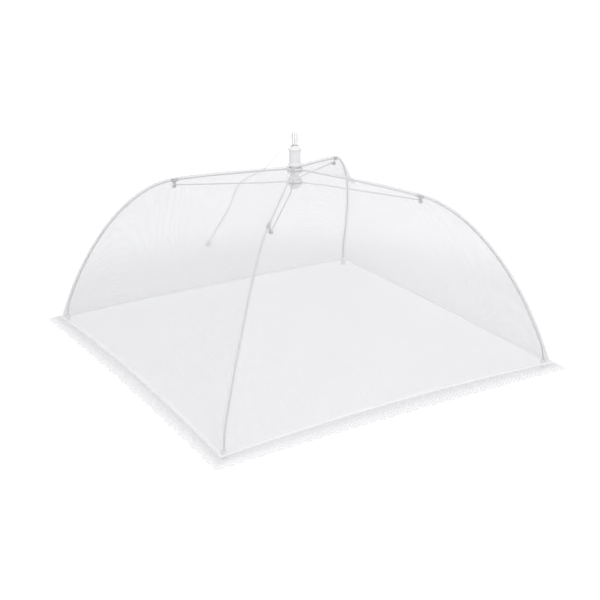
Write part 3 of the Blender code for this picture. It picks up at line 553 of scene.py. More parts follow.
def gore_reach(share):
    """How far down the flat gore's middle line a share of the ridge lies."""
    return float(np.interp(share * REACH[-1], REACH, GORE_REACH))


def bow_at(share, bow):
    """How far a rib's sideways bow takes it off its diagonal at a share of the ridge."""
    return bow * math.sin(math.pi * min(share / BOW_END, 1.0))


def gore_slope(share):
    """The slope below the horizontal, in radians, of a gore's flat middle line."""
    low, high = ridge_at(max(share - SHARE_STEP, 0.0)), ridge_at(min(share + SHARE_STEP, 1.0))
    return math.atan2(low[1] - high[1], (high[0] - low[0]) / math.sqrt(2.0))


def gore_point(share, across, bow=0.0):
    """A point on the front gore: share down the ridge, across from -1 at its left rib to 1.

    The net is drawn tight over the bent ribs, so it sags inwards between them, most of all halfway.
    A bow of the nearer rib takes the net's edge with it.
    """
    distance, height = ridge_at(share)
    half = distance / math.sqrt(2.0)
    slack = 1.0 - across**2
    sag = NET_SAG * math.sin(math.pi * share) ** 2 * slack
    slope = gore_slope(share)
    inward = NET_BOW * share**1.5 * slack + sag * math.sin(slope)
    lift = NET_LIFT * share**4 * slack - sag * math.cos(slope)
    aside = bow_at(share, bow) * across**2 * (3.0 - 2.0 * abs(across)) / math.sqrt(2.0)
    inward += math.copysign(aside, across * aside)
    return Vector((across * half + aside, inward - half, height + lift))


def gore_normal(share, across, bow=0.0):
    """The front gore's outward normal."""
    low, high = max(share - SHARE_STEP, 0.0), min(share + SHARE_STEP, 1.0)
    down = gore_point(high, across, bow) - gore_point(low, across, bow)
    left, right = max(across - SHARE_STEP, -1.0), min(across + SHARE_STEP, 1.0)
    over = gore_point(share, right, bow) - gore_point(share, left, bow)
    return down.cross(over).normalized()


def lace_point(share, x_side):
    """A point on the front lace: share from its sewn edge to its free edge, x_side as across."""
    top_share = ridge_share(LACE_TOP_HEIGHT)
    top_half = ridge_at(top_share)[0] / math.sqrt(2.0) + LAYER_OFFSET
    bottom_half = HALF_FOOTPRINT - LACE_THICKNESS / 2 - GATHER_DEPTH
    half = top_half + (bottom_half - top_half) * share
    slack = 1.0 - x_side**2
    bow = NET_BOW * top_share**1.5 * slack
    top_height = LACE_TOP_HEIGHT + NET_LIFT * top_share**4 * slack
    height = top_height + (LACE_BOTTOM_HEIGHT - top_height) * share
    return Vector((x_side * half, bow - half, height))


def quarter_turn(side):
    """The turn from the front side to another side."""
    return Matrix.Rotation(math.radians(90.0 * side), 4, "Z")


def corner_turn(corner):
    """The turn from the diagonal's own frame, X out and Z up, to a corner."""
    return Matrix.Rotation(math.radians(FIRST_CORNER_TURN + 90.0 * corner), 4, "Z")


def other_word(corner, side):
    """The half of a corner's name that isn't the side's."""
    first, second = corner.split("_")
    return second if first == side else first


# Meshes


def finished(shape, name, outwards=False):
    """The mesh of a shape, which is then freed, with its faces turned outwards if asked."""
    if outwards:
        bmesh.ops.recalc_face_normals(shape, faces=shape.faces)
    mesh = bpy.data.meshes.new(name)
    shape.to_mesh(mesh)
    shape.free()
    return mesh


def grid_mesh(name, rows, uv_rows):
    """A sheet of quads through rows of points in millimetres, with its flat map in metres."""
    shape = bmesh.new()
    layer = shape.loops.layers.uv.new("UVMap")
    grid = [[shape.verts.new(Vector(point) * MM) for point in row] for row in rows]
    for i in range(len(grid) - 1):
        for k in range(len(grid[0]) - 1):
            cells = ((i, k), (i + 1, k), (i + 1, k + 1), (i, k + 1))
            face = shape.faces.new([grid[a][b] for a, b in cells])
            for loop, (a, b) in zip(face.loops, cells):
                loop[layer].uv = (uv_rows[a][b][0] * MM, uv_rows[a][b][1] * MM)
    mesh = finished(shape, name)
    mesh.shade_smooth()
    return mesh


def frames_along(points):
    """Two crosswise unit vectors at each point of a line, turning as little as they can."""
    tangents = np.gradient(points, axis=0)
    tangents /= np.linalg.norm(tangents, axis=1)[:, None]
    side = np.cross(tangents[0], (0.0, 0.0, 1.0))
    if np.linalg.norm(side) < 0.1:
        side = np.cross(tangents[0], (0.0, 1.0, 0.0))
    sides = []
    for tangent in tangents:
        side = side - tangent * np.dot(side, tangent)
        side = side / np.linalg.norm(side)
        sides.append(side)
    sides = np.array(sides)
    return sides, np.cross(tangents, sides)


def tube_mesh(name, points, radius, sides=WIRE_SIDES):
    """A round tube with domed ends through points in millimetres, mapped round and along it."""
    points = np.asarray(points, dtype=float)
    dome = np.radians((80.0, 55.0, 30.0))
    ends = []
    for tip, inner in ((points[0], points[1]), (points[-1], points[-2])):
        out = (tip - inner) / np.linalg.norm(tip - inner)
        ends.append([tip + out * radius * math.sin(angle) for angle in dome])
    full = np.full(len(points), radius)
    radii = np.concatenate([radius * np.cos(dome), full, radius * np.cos(dome[::-1])])
    points = np.concatenate([ends[0], points, ends[1][::-1]])
    across, up = frames_along(points)
    reach = reach_of(points)
    shape = bmesh.new()
    layer = shape.loops.layers.uv.new("UVMap")
    step = 2.0 * math.pi / sides
    rings = []
    for point, width, a, b in zip(points, radii, across, up):
        outs = [math.cos(k * step) * a + math.sin(k * step) * b for k in range(sides)]
        rings.append([shape.verts.new((point + width * out) * MM) for out in outs])
    for i, (here, there) in enumerate(zip(rings, rings[1:])):
        for k in range(sides):
            over = (k + 1) % sides
            face = shape.faces.new((here[k], there[k], there[over], here[over]))
            cells = ((k, i), (k, i + 1), (k + 1, i + 1), (k + 1, i))
            for loop, (turn, row) in zip(face.loops, cells):
                loop[layer].uv = (turn * step * radius * MM, reach[row] * MM)
    shape.faces.new(rings[0])
    shape.faces.new(rings[-1])
    mesh = finished(shape, name, outwards=True)
    mesh.shade_smooth()
    return mesh


def rounded(profile, radius, steps=4):
    """A closed outline with its corners off the axis rounded over."""
    made = []
    for k, corner in enumerate(profile):
        corner = np.array(corner, dtype=float)
        before = np.array(profile[k - 1], dtype=float) - corner
        after = np.array(profile[(k + 1) % len(profile)], dtype=float) - corner
        if corner[0] < 1e-6:
            made.append(tuple(corner))
            continue
        reach = min(radius, 0.42 * np.linalg.norm(before), 0.42 * np.linalg.norm(after))
        start = corner + before / np.linalg.norm(before) * reach
        end = corner + after / np.linalg.norm(after) * reach
        for t in np.linspace(0.0, 1.0, steps):
            made.append(tuple((1 - t) ** 2 * start + 2 * (1 - t) * t * corner + t**2 * end))
    return made


def turned_mesh(name, profile, sides=ROUND_SIDES):
    """A closed outline of (radius, height) in millimetres, turned about Z."""
    shape = bmesh.new()
    turns = np.linspace(0.0, 2.0 * math.pi, sides, endpoint=False)
    rings = []
    for radius, height in profile:
        if radius < 1e-6:
            rings.append([shape.verts.new((0.0, 0.0, height * MM))] * sides)
        else:
            around = [Vector((radius * math.cos(t), radius * math.sin(t), height)) for t in turns]
            rings.append([shape.verts.new(point * MM) for point in around])
    for upper, lower in zip(rings, rings[1:] + rings[:1]):
        for k in range(sides):
            corners = (upper[k], lower[k], lower[(k + 1) % sides], upper[(k + 1) % sides])
            corners = list(dict.fromkeys(corners))
            if len(corners) > 2:
                shape.faces.new(corners)
    return smooth(finished(shape, name, outwards=True))


def smooth(mesh, angle=35.0):
    """Shade a mesh smooth, with a crease wherever it turns by more than an angle."""
    mesh.shade_smooth()
    mesh.set_sharp_from_angle(angle=math.radians(angle))
    return mesh


def box_mesh(name, low, high):
    """A box between two corners, in millimetres."""
    low, high = Vector(low) * MM, Vector(high) * MM
    shape = bmesh.new()
    bmesh.ops.create_cube(shape, size=1.0)
    bmesh.ops.scale(shape, vec=high - low, verts=shape.verts)
    bmesh.ops.translate(shape, vec=(low + high) / 2, verts=shape.verts)
    return finished(shape, name)


def pin_mesh(name, radius, span, centre=(0.0, 0.0), edge=0.0, sides=SMALL_SIDES):
    """A cylinder along Y over a span, centred at (x, z), in millimetres."""
    low, high = span
    outline = [(0.0, high), (radius, high), (radius, low), (0.0, low)]
    mesh = turned_mesh(name, rounded(outline, edge) if edge else outline, sides)
    middle = Vector((centre[0], 0.0, centre[1])) * MM
    mesh.transform(Matrix.Translation(middle) @ Matrix.Rotation(-math.pi / 2, 4, "X"))
    return mesh


def shaped(name, base, steps, bevel=0.0):
    """A mesh after Boolean steps, each an operation and the mesh that it uses."""
    obj = bpy.data.objects.new(name, base)
    bpy.context.scene.collection.objects.link(obj)
    tools = []
    for operation, mesh in steps:
        tool = bpy.data.objects.new(mesh.name, mesh)
        bpy.context.scene.collection.objects.link(tool)
        boolean = obj.modifiers.new(mesh.name, "BOOLEAN")
        boolean.operation = operation
        boolean.object = tool
        boolean.solver = "EXACT"
        tools.append(tool)
    if bevel:
        edges = obj.modifiers.new("moulded_edges", "BEVEL")
        edges.width = bevel * MM
        edges.segments = 2
        edges.limit_method = "ANGLE"
        edges.angle_limit = math.radians(50.0)
    mesh = plain_mesh(obj, name)
    for tool in tools:
        bpy.data.objects.remove(tool)
    return smooth(mesh)


def plain_mesh(obj, name):
    """The object's evaluated shape as a plain mesh. The object is removed."""
    graph = bpy.context.evaluated_depsgraph_get()
    mesh = bpy.data.meshes.new_from_object(obj.evaluated_get(graph))
    mesh.name = name
    bpy.data.objects.remove(obj)
    return mesh


def joined(name, meshes):
    """Several meshes as one."""
    shape = bmesh.new()
    for mesh in meshes:
        shape.from_mesh(mesh)
        bpy.data.meshes.remove(mesh)
    return smooth(finished(shape, name))


def in_diagonal(line):
    """Points of a (distance, height, sideways) line in the diagonal's own frame."""
    return np.asarray(line)[:, (0, 2, 1)]


# Placing pieces on their bodies


def show(name, mesh, material):
    """Put a finished mesh in the scene, at the origin."""
    mesh.materials.clear()
    mesh.materials.append(material)
    obj = bpy.data.objects.new(name, mesh)
    bpy.context.scene.collection.objects.link(obj)
    return obj


def stand_in(name, mesh, material, slot, *nodes):
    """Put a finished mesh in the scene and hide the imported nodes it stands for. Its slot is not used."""
    piece = show(name, mesh, material)
    if nodes:
        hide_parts(*nodes)
    return piece


def rigid(name, mesh, material, body, slot, *nodes):
    """A piece that moves with one body."""
    piece = stand_in(name, mesh, material, slot, *nodes)
    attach(piece, body)
    return piece


def bend_half(piece):
    """Bake a half side's placement into its mesh."""
    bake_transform(piece)


def bend_on_ridge(piece):
    """Bake the placement of a piece that lies along a ridge into its mesh."""
    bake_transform(piece)


# Camera, floor and light


def build_camera():
    """The camera that was fitted to the photographed corners, ridges and hub."""
    target = Vector(CAMERA_TARGET) * MM
    azimuth, elevation = math.radians(CAMERA_AZIMUTH), math.radians(CAMERA_ELEVATION)
    back = Vector((math.sin(azimuth) * math.cos(elevation), -math.cos(azimuth) * math.cos(elevation),
                   math.sin(elevation)))
    camera = bpy.data.objects.new("camera", bpy.data.cameras.new("camera"))
    bpy.context.scene.collection.objects.link(camera)
    camera.data.lens = CAMERA_LENS
    camera.data.shift_x, camera.data.shift_y = CAMERA_SHIFT
    camera.location = target + back * CAMERA_DISTANCE * MM
    camera.rotation_mode = "QUATERNION"
    camera.rotation_quaternion = (-back).to_track_quat("-Z", "Y")
    bpy.context.scene.camera = camera


def seen_directly(tree):
    """1 for a ray from the camera, or one that a gloss or glass sends on, and 0 for light."""
    path = node(tree, "ShaderNodeLightPath").outputs
    glossy = maths(tree, "MAXIMUM", path["Is Camera Ray"], path["Is Glossy Ray"])
    return maths(tree, "MAXIMUM", glossy, path["Is Transmission Ray"])


def build_floor():
    """A matt white table top that keeps a faint shadow of the cover.

    Around and behind the cover it glows more brightly, a painted pool of light like a studio's sweep,
    so the net looks paler there, and under the cover it glows less, as painted shade.
    """
    shape = bmesh.new()
    bmesh.ops.create_grid(shape, x_segments=1, y_segments=1, size=FLOOR_HALF_SIZE * MM)
    material, tree = new_material("matt_white_table_top")
    matt = node(tree, "ShaderNodeBsdfDiffuse", {"Color": linear("#F2F2F3")})
    pale = node(tree, "ShaderNodeBsdfDiffuse", {"Color": linear("#CCCCCD")})
    place = object_place(tree)
    # Painted light: the floor glows more farther out from the middle, over the sweep's span.
    far = tuple(distance * MM for distance in SWEEP_SPAN)
    sweep = spread(tree, vectors(tree, "LENGTH", place), far, SWEEP_GLOW, "SMOOTHSTEP")
    sides = node(tree, "ShaderNodeSeparateXYZ", {0: vectors(tree, "ABSOLUTE", place)}).outputs
    square = maths(tree, "MAXIMUM", sides["X"], sides["Y"])
    # Painted shade: beyond the hem the floor glows a little more than under the cover.
    hem = (HALF_FOOTPRINT * MM, HEM_GLOW_END * MM)
    lift = spread(tree, square, hem, (0.0, HEM_GLOW), "SMOOTHSTEP")
    strength = maths(tree, "ADD", sweep, lift)
    glow = node(tree, "ShaderNodeEmission", {"Color": (1.0, 1.0, 1.0, 1.0), "Strength": strength})
    seen = node(tree, "ShaderNodeAddShader", {0: pale, 1: glow})
    surfaced(material, mixed(tree, seen_directly(tree), matt, seen))
    show("table_top", finished(shape, "table_top"), material)


def build_world():
    """A white room: plain white where it is seen, and softer where it lights the cover."""
    world = bpy.data.worlds.new("white_room")
    world.use_nodes = True
    tree = world.node_tree
    tree.nodes.clear()
    strength = spread(tree, seen_directly(tree), (0.0, 1.0), (ROOM_LIGHT, ROOM_SEEN))
    glow = node(tree, "ShaderNodeBackground", {"Color": (1.0, 1.0, 1.0, 1.0), "Strength": strength})
    node(tree, "ShaderNodeOutputWorld", {"Surface": glow})
    bpy.context.scene.world = world


def build_lamp(name, place, size, watts):
    """A square soft light that faces the middle of the cover."""
    lamp = bpy.data.lights.new(name, "AREA")
    lamp.size = size * MM
    lamp.energy = watts
    obj = bpy.data.objects.new(name, lamp)
    bpy.context.scene.collection.objects.link(obj)
    obj.location = Vector(place) * MM
    aim = Vector(CAMERA_TARGET) * MM - obj.location
    obj.rotation_euler = aim.to_track_quat("-Z", "Y").to_euler()


# Pull cord and its knot


def over_back_gore(x, y, lift):
    """The point at a lift off the back gore's net, in the net's own direction, over a plan (x, y)."""
    low, high = 0.0, 1.0
    for _ in range(GORE_SEARCH_STEPS):
        share = (low + high) / 2
        across = -x / (ridge_at(share)[0] / math.sqrt(2.0))
        point = gore_point(share, across) + gore_normal(share, across) * lift
        if -point.y < y:
            low = share
        else:
            high = share
    return Vector((-point.x, -point.y, point.z))


def cord_route():
    """The points that the cord's centre line passes, from the rod's head to the knot."""
    return [Vector(point) for point in CORD_FALL] + [over_back_gore(*rest) for rest in CORD_REST]


def cord_line():
    """The cord's centre line, read from a smooth curve through the route's points."""
    route = cord_route()
    ends = [2 * route[0] - route[1], *route, 2 * route[-1] - route[-2]]
    line = []
    for a, b, c, d in zip(ends, ends[1:], ends[2:], ends[3:]):
        for t in np.linspace(0.0, 1.0, CORD_STEPS, endpoint=False):
            line.append(0.5 * (2 * b + (c - a) * t + (2 * a - 5 * b + 4 * c - d) * t**2
                               + (3 * b - a - 3 * c + d) * t**3))
    line.append(route[-1])
    return resample(line, CORD_POINTS)


def knot_mesh():
    """A barrel knot: the cord wound round itself, with the cut end left short."""
    last, end = cord_route()[-2:]
    axis = (end - last).normalized()
    radius = CORD_DIAMETER / 2
    stand = Matrix.Translation(end + axis * (KNOT_HALF_LENGTH + KNOT_GAP))
    stand = stand @ axis.to_track_quat("Z", "Y").to_matrix().to_4x4()
    core = [stand @ Vector((0.0, 0.0, z)) for z in np.linspace(-KNOT_HALF_LENGTH, KNOT_HALF_LENGTH, 14)]
    coil = []
    for t in np.linspace(0.0, 1.0, 34 * KNOT_TURNS):
        angle = 2.0 * math.pi * KNOT_TURNS * t
        reach = 2.05 * radius
        height = (t - 0.5) * 2.0 * (KNOT_HALF_LENGTH - radius)
        coil.append(stand @ Vector((reach * math.cos(angle), reach * math.sin(angle), height)))
    meshes = [tube_mesh("knot_core", core, 0.9 * radius, 12), tube_mesh("knot_coil", coil, radius, 12)]
    return joined("pull_cord_knot", meshes)


def build_cord(cloth):
    """The cord on its route, from the rod's head to its knot."""
    line = cord_line()
    radius = CORD_DIAMETER / 2
    tube = tube_mesh("pull_cord", line, radius, CORD_SIDES)
    cord = stand_in("braided_pull_cord", tube, cloth, "cord", "pull_cord")
    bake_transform(cord)
    knot = rigid("barrel_knot", knot_mesh(), cloth, "crown", "cord", "pull_cord_knot")


# Hub


def notched_mesh(name, above, below, ring_height, slot):
    """A turned body with a groove for its ring wire and a slot at each corner for an eye.

    Its outline is given as the points above the groove and those below it, and the slot as its
    width, bottom and top.
    """
    rim = above[-1][0]
    high, low = ring_height + GROOVE_HALF_HEIGHT, ring_height - GROOVE_HALF_HEIGHT
    groove = [(rim, high), (GROOVE_FLOOR, high), (GROOVE_FLOOR, low), (rim, low)]
    body = turned_mesh(name, rounded([*above, *groove, *below], MOULD_EDGE))
    width, bottom, top = slot
    slots = []
    for corner in range(len(CORNERS)):
        box = box_mesh("slot", (SLOT_FLOOR, -width / 2, bottom), (2 * CROWN_RADIUS, width / 2, top))
        box.transform(corner_turn(corner))
        slots.append(box)
    return shaped(name, body, [("DIFFERENCE", joined("slots", slots))])


def crown_mesh():
    """The notched crown and the spigot that the cap sits on."""
    above = [(CROWN_BORE, SPIGOT_TOP), (SPIGOT_RADIUS, SPIGOT_TOP), (SPIGOT_RADIUS, CROWN_TOP),
             (CROWN_RADIUS, CROWN_TOP)]
    below = [(CROWN_RADIUS, CROWN_BOTTOM), (CROWN_BORE, CROWN_BOTTOM)]
    slot = (RIB_SLOT_WIDTH, CROWN_BOTTOM - 1.0, CROWN_TOP + 1.0)
    return notched_mesh("crown", above, below, RIB_PIVOT_HEIGHT, slot)


def runner_mesh():
    """The notched runner and the neck that meets the crown."""
    above = [(RUNNER_BORE, RUNNER_TOP), (RUNNER_NECK, RUNNER_TOP), (RUNNER_NECK, RUNNER_SHOULDER),
             (RUNNER_RADIUS, RUNNER_SHOULDER)]
    below = [(RUNNER_RADIUS, RUNNER_BOTTOM + RUNNER_FOOT_HEIGHT), (RUNNER_FOOT_RADIUS, RUNNER_BOTTOM),
             (RUNNER_BORE, RUNNER_BOTTOM)]
    slot = (STRETCHER_SLOT_WIDTH, STRETCHER_SLOT_BOTTOM, RUNNER_SHOULDER + 1.0)
    return notched_mesh("runner", above, below, STRETCHER_PIVOT_HEIGHT, slot)


def lock_rod_mesh():
    """The rod through runner, crown and cap, with its flange below and its split head on top."""
    profile = [
        (0.0, ROD_TOP),
        *((radius, ROD_TOP - depth) for radius, depth in ROD_TIP),
        (ROD_RADIUS, RUNNER_BOTTOM - FIT_GAP),
        (ROD_HEAD_RADIUS, RUNNER_BOTTOM - FIT_GAP),
        (ROD_HEAD_RADIUS, ROD_BOTTOM + ROD_FLANGE_EDGE),
        (ROD_HEAD_RADIUS - ROD_FLANGE_EDGE, ROD_BOTTOM),
        (0.0, ROD_BOTTOM),
    ]
    slits = []
    for side in (-1, 1):
        low = side * SLIT_OFFSET - SLIT_WIDTH / 2
        box = box_mesh("slit", (low, -6.0, SLIT_BOTTOM), (low + SLIT_WIDTH, 6.0, ROD_TOP + 2.0))
        box.transform(Matrix.Rotation(math.radians(SLIT_TURN), 4, "Z"))
        slits.append(box)
    body = turned_mesh("lock_rod", rounded(profile, MOULD_EDGE))
    return shaped("lock_rod", body, [("DIFFERENCE", joined("slits", slits))])


def cap_mesh():
    """The waisted cap: flared rims at foot and top, and a small conical neck round the rod."""
    socket = SPIGOT_RADIUS + FIT_GAP
    profile = [
        (CAP_BORE, CAP_NECK[0][1]),
        *CAP_NECK,
        *CAP_WALL,
        (socket, CAP_BOTTOM),
        (socket, SPIGOT_TOP + FIT_GAP),
        (CAP_BORE, SPIGOT_TOP + FIT_GAP),
    ]
    return turned_mesh("cap", rounded(profile, 0.5, 5))


def apex_patch_mesh():
    """The round patch over the gores' tops, between net and cap."""
    inner = SPIGOT_RADIUS + FIT_GAP
    rise = RIDGE_TOP[1] + NET_HALF_THICKNESS + FIT_GAP
    edge = rise - (PATCH_RADIUS - RIDGE_TOP[0]) * math.tan(math.radians(RIDGE_TOP_SLOPE))
    profile = [
        (inner, rise + PATCH_THICKNESS),
        (RIDGE_TOP[0], rise + PATCH_THICKNESS),
        (PATCH_RADIUS, edge + PATCH_THICKNESS),
        (PATCH_RADIUS, edge),
        (RIDGE_TOP[0], rise),
        (inner, rise),
    ]
    return turned_mesh("apex_patch", rounded(profile, 0.3))


def ring_mesh(name, height):
    """A closed ring of wire that eyes swing on."""
    turns = np.linspace(0.0, 2.0 * math.pi, RING_SIDES, endpoint=False)
    outline = [(RING_RADIUS + RING_WIRE * math.cos(t), height + RING_WIRE * math.sin(t)) for t in turns]
    return turned_mesh(name, outline)


def build_hub(plastic, rod_plastic, steel, tape_cloth):
    """The crown, runner, cap and rod, with the rings and the patch."""
    crown_ring = ring_mesh("crown_ring", RIB_PIVOT_HEIGHT)
    runner_ring = ring_mesh("runner_ring", STRETCHER_PIVOT_HEIGHT)
    pieces = (
        ("crown_notched", crown_mesh(), plastic, "crown", "white_plastic", "crown"),
        ("cap_waisted", cap_mesh(), plastic, "crown", "white_plastic", "cap"),
        ("apex_patch_round", apex_patch_mesh(), tape_cloth, "crown", "seam_tape", "apex_patch"),
        ("crown_wire_ring", crown_ring, steel, "crown", "plated_steel", "crown_ring"),
        ("runner_notched", runner_mesh(), plastic, "runner", "white_plastic", "runner"),
        ("lock_rod_split", lock_rod_mesh(), rod_plastic, "runner", "white_plastic", "lock_rod"),
        ("runner_wire_ring", runner_ring, steel, "runner", "plated_steel", "runner_ring"),
    )
    for name, mesh, material, body, slot, stood_for in pieces:
        rigid(name, mesh, material, body, slot, stood_for)


# Ribs, stretchers and their fittings


def rib_line(bow):
    """The rib's centre line as (distance, height, sideways), a constant inset inside the ridge."""
    shares = np.linspace(0.0, ridge_share(RIB_LAST_RIDGE_HEIGHT), RIDGE_SAMPLES)
    ridge = np.array([ridge_at(share) for share in shares])
    tangent = np.gradient(ridge, axis=0)
    tangent /= np.linalg.norm(tangent, axis=1)[:, None]
    inward = np.stack([tangent[:, 1], -tangent[:, 0]], axis=1)
    line = np.column_stack([ridge + RIB_INSET * inward, [bow_at(share, bow) for share in shares]])
    line = line[line[:, 0] > RING_RADIUS + RIB_EYE_RADIUS]
    start = np.array([[RING_RADIUS, RIB_PIVOT_HEIGHT, 0.0]])
    tip = np.array([(*point, 0.0) for point in TIP_BEND])
    return np.concatenate([start, line, tip])


def with_eye(name, wire, height, radius, width):
    """A wire with an eye at its start, which swings on the ring wire at a height."""
    half = width / 2
    centre = (RING_RADIUS, height)
    eye = pin_mesh("eye", radius, (-half, half), centre, edge=EYE_EDGE)
    hole = pin_mesh("eye_hole", EYE_HOLE, (-2 * half, 2 * half), centre)
    return shaped(name, wire, [("UNION", eye), ("DIFFERENCE", hole)])


def rib_mesh(bow):
    """The rib's wire, with an eye for the crown's ring."""
    line = rib_line(bow)
    away = (line[1] - line[0]) / np.linalg.norm(line[1] - line[0])
    start = line[0] + away * (EYE_HOLE + EYE_WALL_DEPTH)
    wire = tube_mesh("rib_wire", in_diagonal(resample([start, *line[1:]], RIB_POINTS)), RIB_WIRE)
    return with_eye("rib", wire, RIB_PIVOT_HEIGHT, RIB_EYE_RADIUS, RIB_EYE_WIDTH)


def stretcher_line(bow):
    """The stretcher's centre line, with its sideways crank and its lean towards a bowed rib."""
    pivot = np.array([RING_RADIUS, STRETCHER_PIVOT_HEIGHT])
    rivet = np.array([BRACKET_AT, RIVET_HEIGHT])
    hook_top = rivet + np.array([0.0, HOOK_RADIUS])
    away = (hook_top - pivot) / np.linalg.norm(hook_top - pivot)
    start = pivot + away * (EYE_HOLE + EYE_WALL_DEPTH)
    shares = np.concatenate([np.linspace(0.0, 0.3, 40), np.linspace(0.32, 0.98, 30)])
    run = start + shares[:, None] * (hook_top - start)
    angles = np.radians(np.linspace(90.0, HOOK_END_ANGLE, 18))
    hook = rivet + HOOK_RADIUS * np.stack([np.cos(angles), np.sin(angles)], axis=1)
    line = np.concatenate([run, hook])
    ease = np.clip((line[:, 0] - CRANK_SPAN[0]) / (CRANK_SPAN[1] - CRANK_SPAN[0]), 0.0, 1.0)
    lean_span = (CRANK_SPAN[0], BRACKET_AT - 2 * HOOK_RADIUS)
    lean = np.interp(line[:, 0], lean_span, (0.0, rib_seat(BRACKET_AT, bow)[2]))
    return np.column_stack([line, CRANK_OFFSET * ease**2 * (3.0 - 2.0 * ease) + lean])


def stretcher_mesh(bow):
    """The stretcher's wire, with an eye for the runner's ring and an open hook for the rivet."""
    wire = tube_mesh("stretcher_wire", in_diagonal(stretcher_line(bow)), STRETCHER_WIRE)
    return with_eye("stretcher", wire, STRETCHER_PIVOT_HEIGHT, STRETCHER_EYE_RADIUS, STRETCHER_EYE_WIDTH)


def rib_seat(distance, bow):
    """The rib's height, drop per millimetre, sideways place and its change, at a distance."""
    line = rib_line(bow)
    (height, ahead), (sideways, beyond) = (
        np.interp((distance, distance + 1.0), line[:, 0], line[:, k]).tolist() for k in (1, 2)
    )
    return height, height - ahead, sideways, beyond - sideways


def on_rib(mesh, distance, height, slope):
    """Lay a tube that was made about Z along the rib."""
    middle = Vector((distance, 0.0, height)) * MM
    mesh.transform(Matrix.Translation(middle) @ Matrix.Rotation(math.pi / 2 + slope, 4, "Y"))
    return mesh


def tongue_mesh(height, slope):
    """The bracket's flat tongue, which hangs from the clip down to the rivet."""
    root = height - TONGUE_ROOT
    tilt = TONGUE_RADIUS * slope
    outline = [(BRACKET_AT + TONGUE_RADIUS, root - tilt), (BRACKET_AT - TONGUE_RADIUS, root + tilt)]
    for angle in np.radians(np.linspace(180.0, 360.0, 25)):
        outline.append((BRACKET_AT + TONGUE_RADIUS * math.cos(angle),
                        RIVET_HEIGHT + TONGUE_RADIUS * math.sin(angle)))
    shape = bmesh.new()
    near, far = ([shape.verts.new(Vector((x, y, z)) * MM) for x, z in outline] for y in TONGUE_SPAN)
    shape.faces.new(near)
    shape.faces.new(far)
    for k in range(len(outline)):
        shape.faces.new((near[k - 1], near[k], far[k], far[k - 1]))
    return finished(shape, "tongue", outwards=True)


def bracket_mesh(bow):
    """The clip crimped on the rib in two bites, with the tongue that holds the rivet."""
    height, slope, sideways, drift = rib_seat(BRACKET_AT, bow)
    half, bite = BRACKET_LENGTH / 2, 0.22
    outer = [(BRACKET_OUTER, half)]
    for centre in (1.9, -1.9):
        outer += [(BRACKET_OUTER, centre + 0.8), (BRACKET_OUTER - bite, centre + 0.3),
                  (BRACKET_OUTER - bite, centre - 0.3), (BRACKET_OUTER, centre - 0.8)]
    profile = [(BRACKET_INNER, half), *outer, (BRACKET_OUTER, -half), (BRACKET_INNER, -half)]
    clip = turned_mesh("bracket", rounded(profile, 0.2), SMALL_SIDES)
    on_rib(clip, BRACKET_AT, height, math.atan(slope))
    middle = Matrix.Translation((BRACKET_AT * MM, 0.0, 0.0))
    clip.transform(middle @ Matrix.Rotation(math.atan(drift), 4, "Z") @ middle.inverted())
    reach = (TONGUE_SPAN[0] - 1.0, TONGUE_SPAN[1] + 1.0)
    hole = pin_mesh("rivet_hole", RIVET_RADIUS + FIT_GAP, reach, (BRACKET_AT, RIVET_HEIGHT))
    steps = [("UNION", tongue_mesh(height, slope)), ("DIFFERENCE", hole)]
    mesh = shaped("bracket", clip, steps, bevel=0.08)
    mesh.transform(Matrix.Translation((0.0, sideways * MM, 0.0)))
    return mesh


def rivet_mesh(bow):
    """The rivet through the tongue and the stretcher's hook, with a domed head at each end."""
    low, high = RIVET_SPAN
    head = RIVET_HEAD_THICKNESS
    dome = [(RIVET_HEAD_RADIUS * math.cos(a), math.sin(a)) for a in np.radians((0, 20, 40, 60, 75))]
    profile = [(0.0, high)]
    profile += [(radius, high - 0.6 * head * (1.0 - rise)) for radius, rise in dome[::-1]]
    profile += [(RIVET_HEAD_RADIUS, high - head), (RIVET_RADIUS, high - head), (RIVET_RADIUS, low + head),
                (RIVET_HEAD_RADIUS, low + head)]
    profile += [(radius, low + 0.6 * head * (1.0 - rise)) for radius, rise in dome]
    profile += [(0.0, low)]
    mesh = turned_mesh("rivet", profile, SMALL_SIDES)
    centre = Vector((BRACKET_AT, rib_seat(BRACKET_AT, bow)[2], RIVET_HEIGHT)) * MM
    mesh.transform(Matrix.Translation(centre) @ Matrix.Rotation(-math.pi / 2, 4, "X"))
    return mesh


def tip_cap_mesh():
    """The plastic cap on the rib's end, which stands on the table."""
    floor_of_bore = TIP_BEND[-1][1] - FIT_GAP
    profile = [
        (0.0, floor_of_bore),
        (TIP_CAP_BORE, floor_of_bore),
        (TIP_CAP_BORE, TIP_CAP_HEIGHT),
        (TIP_CAP_FLAT, TIP_CAP_HEIGHT),
        (TIP_CAP_RADIUS, TIP_CAP_HEIGHT - TIP_CAP_EDGE),
        (TIP_CAP_RADIUS, TIP_CAP_EDGE),
        (TIP_CAP_FLAT, 0.0),
        (0.0, 0.0),
    ]
    mesh = turned_mesh("rib_tip_cap", rounded(profile, MOULD_EDGE), SMALL_SIDES)
    mesh.transform(Matrix.Translation(Vector((TIP_RADIUS, 0.0, 0.0)) * MM))
    return mesh


def corner_pocket_mesh():
    """The sewn tube that holds the rib's end in the cover's corner, with rolled hems."""
    bend = np.array(TIP_BEND[0])
    lean = math.atan2(POCKET_CENTRE[1] - bend[1], bend[0] - POCKET_CENTRE[0])
    half, wall = POCKET_LENGTH / 2, POCKET_OUTER - 0.2
    profile = [(POCKET_INNER, half), (POCKET_OUTER, half), (POCKET_OUTER, half - 1.1), (wall, half - 1.4),
               (wall, 1.4 - half), (POCKET_OUTER, 1.1 - half), (POCKET_OUTER, -half), (POCKET_INNER, -half)]
    return on_rib(turned_mesh("corner_pocket", rounded(profile, 0.25), SMALL_SIDES), *POCKET_CENTRE, lean)


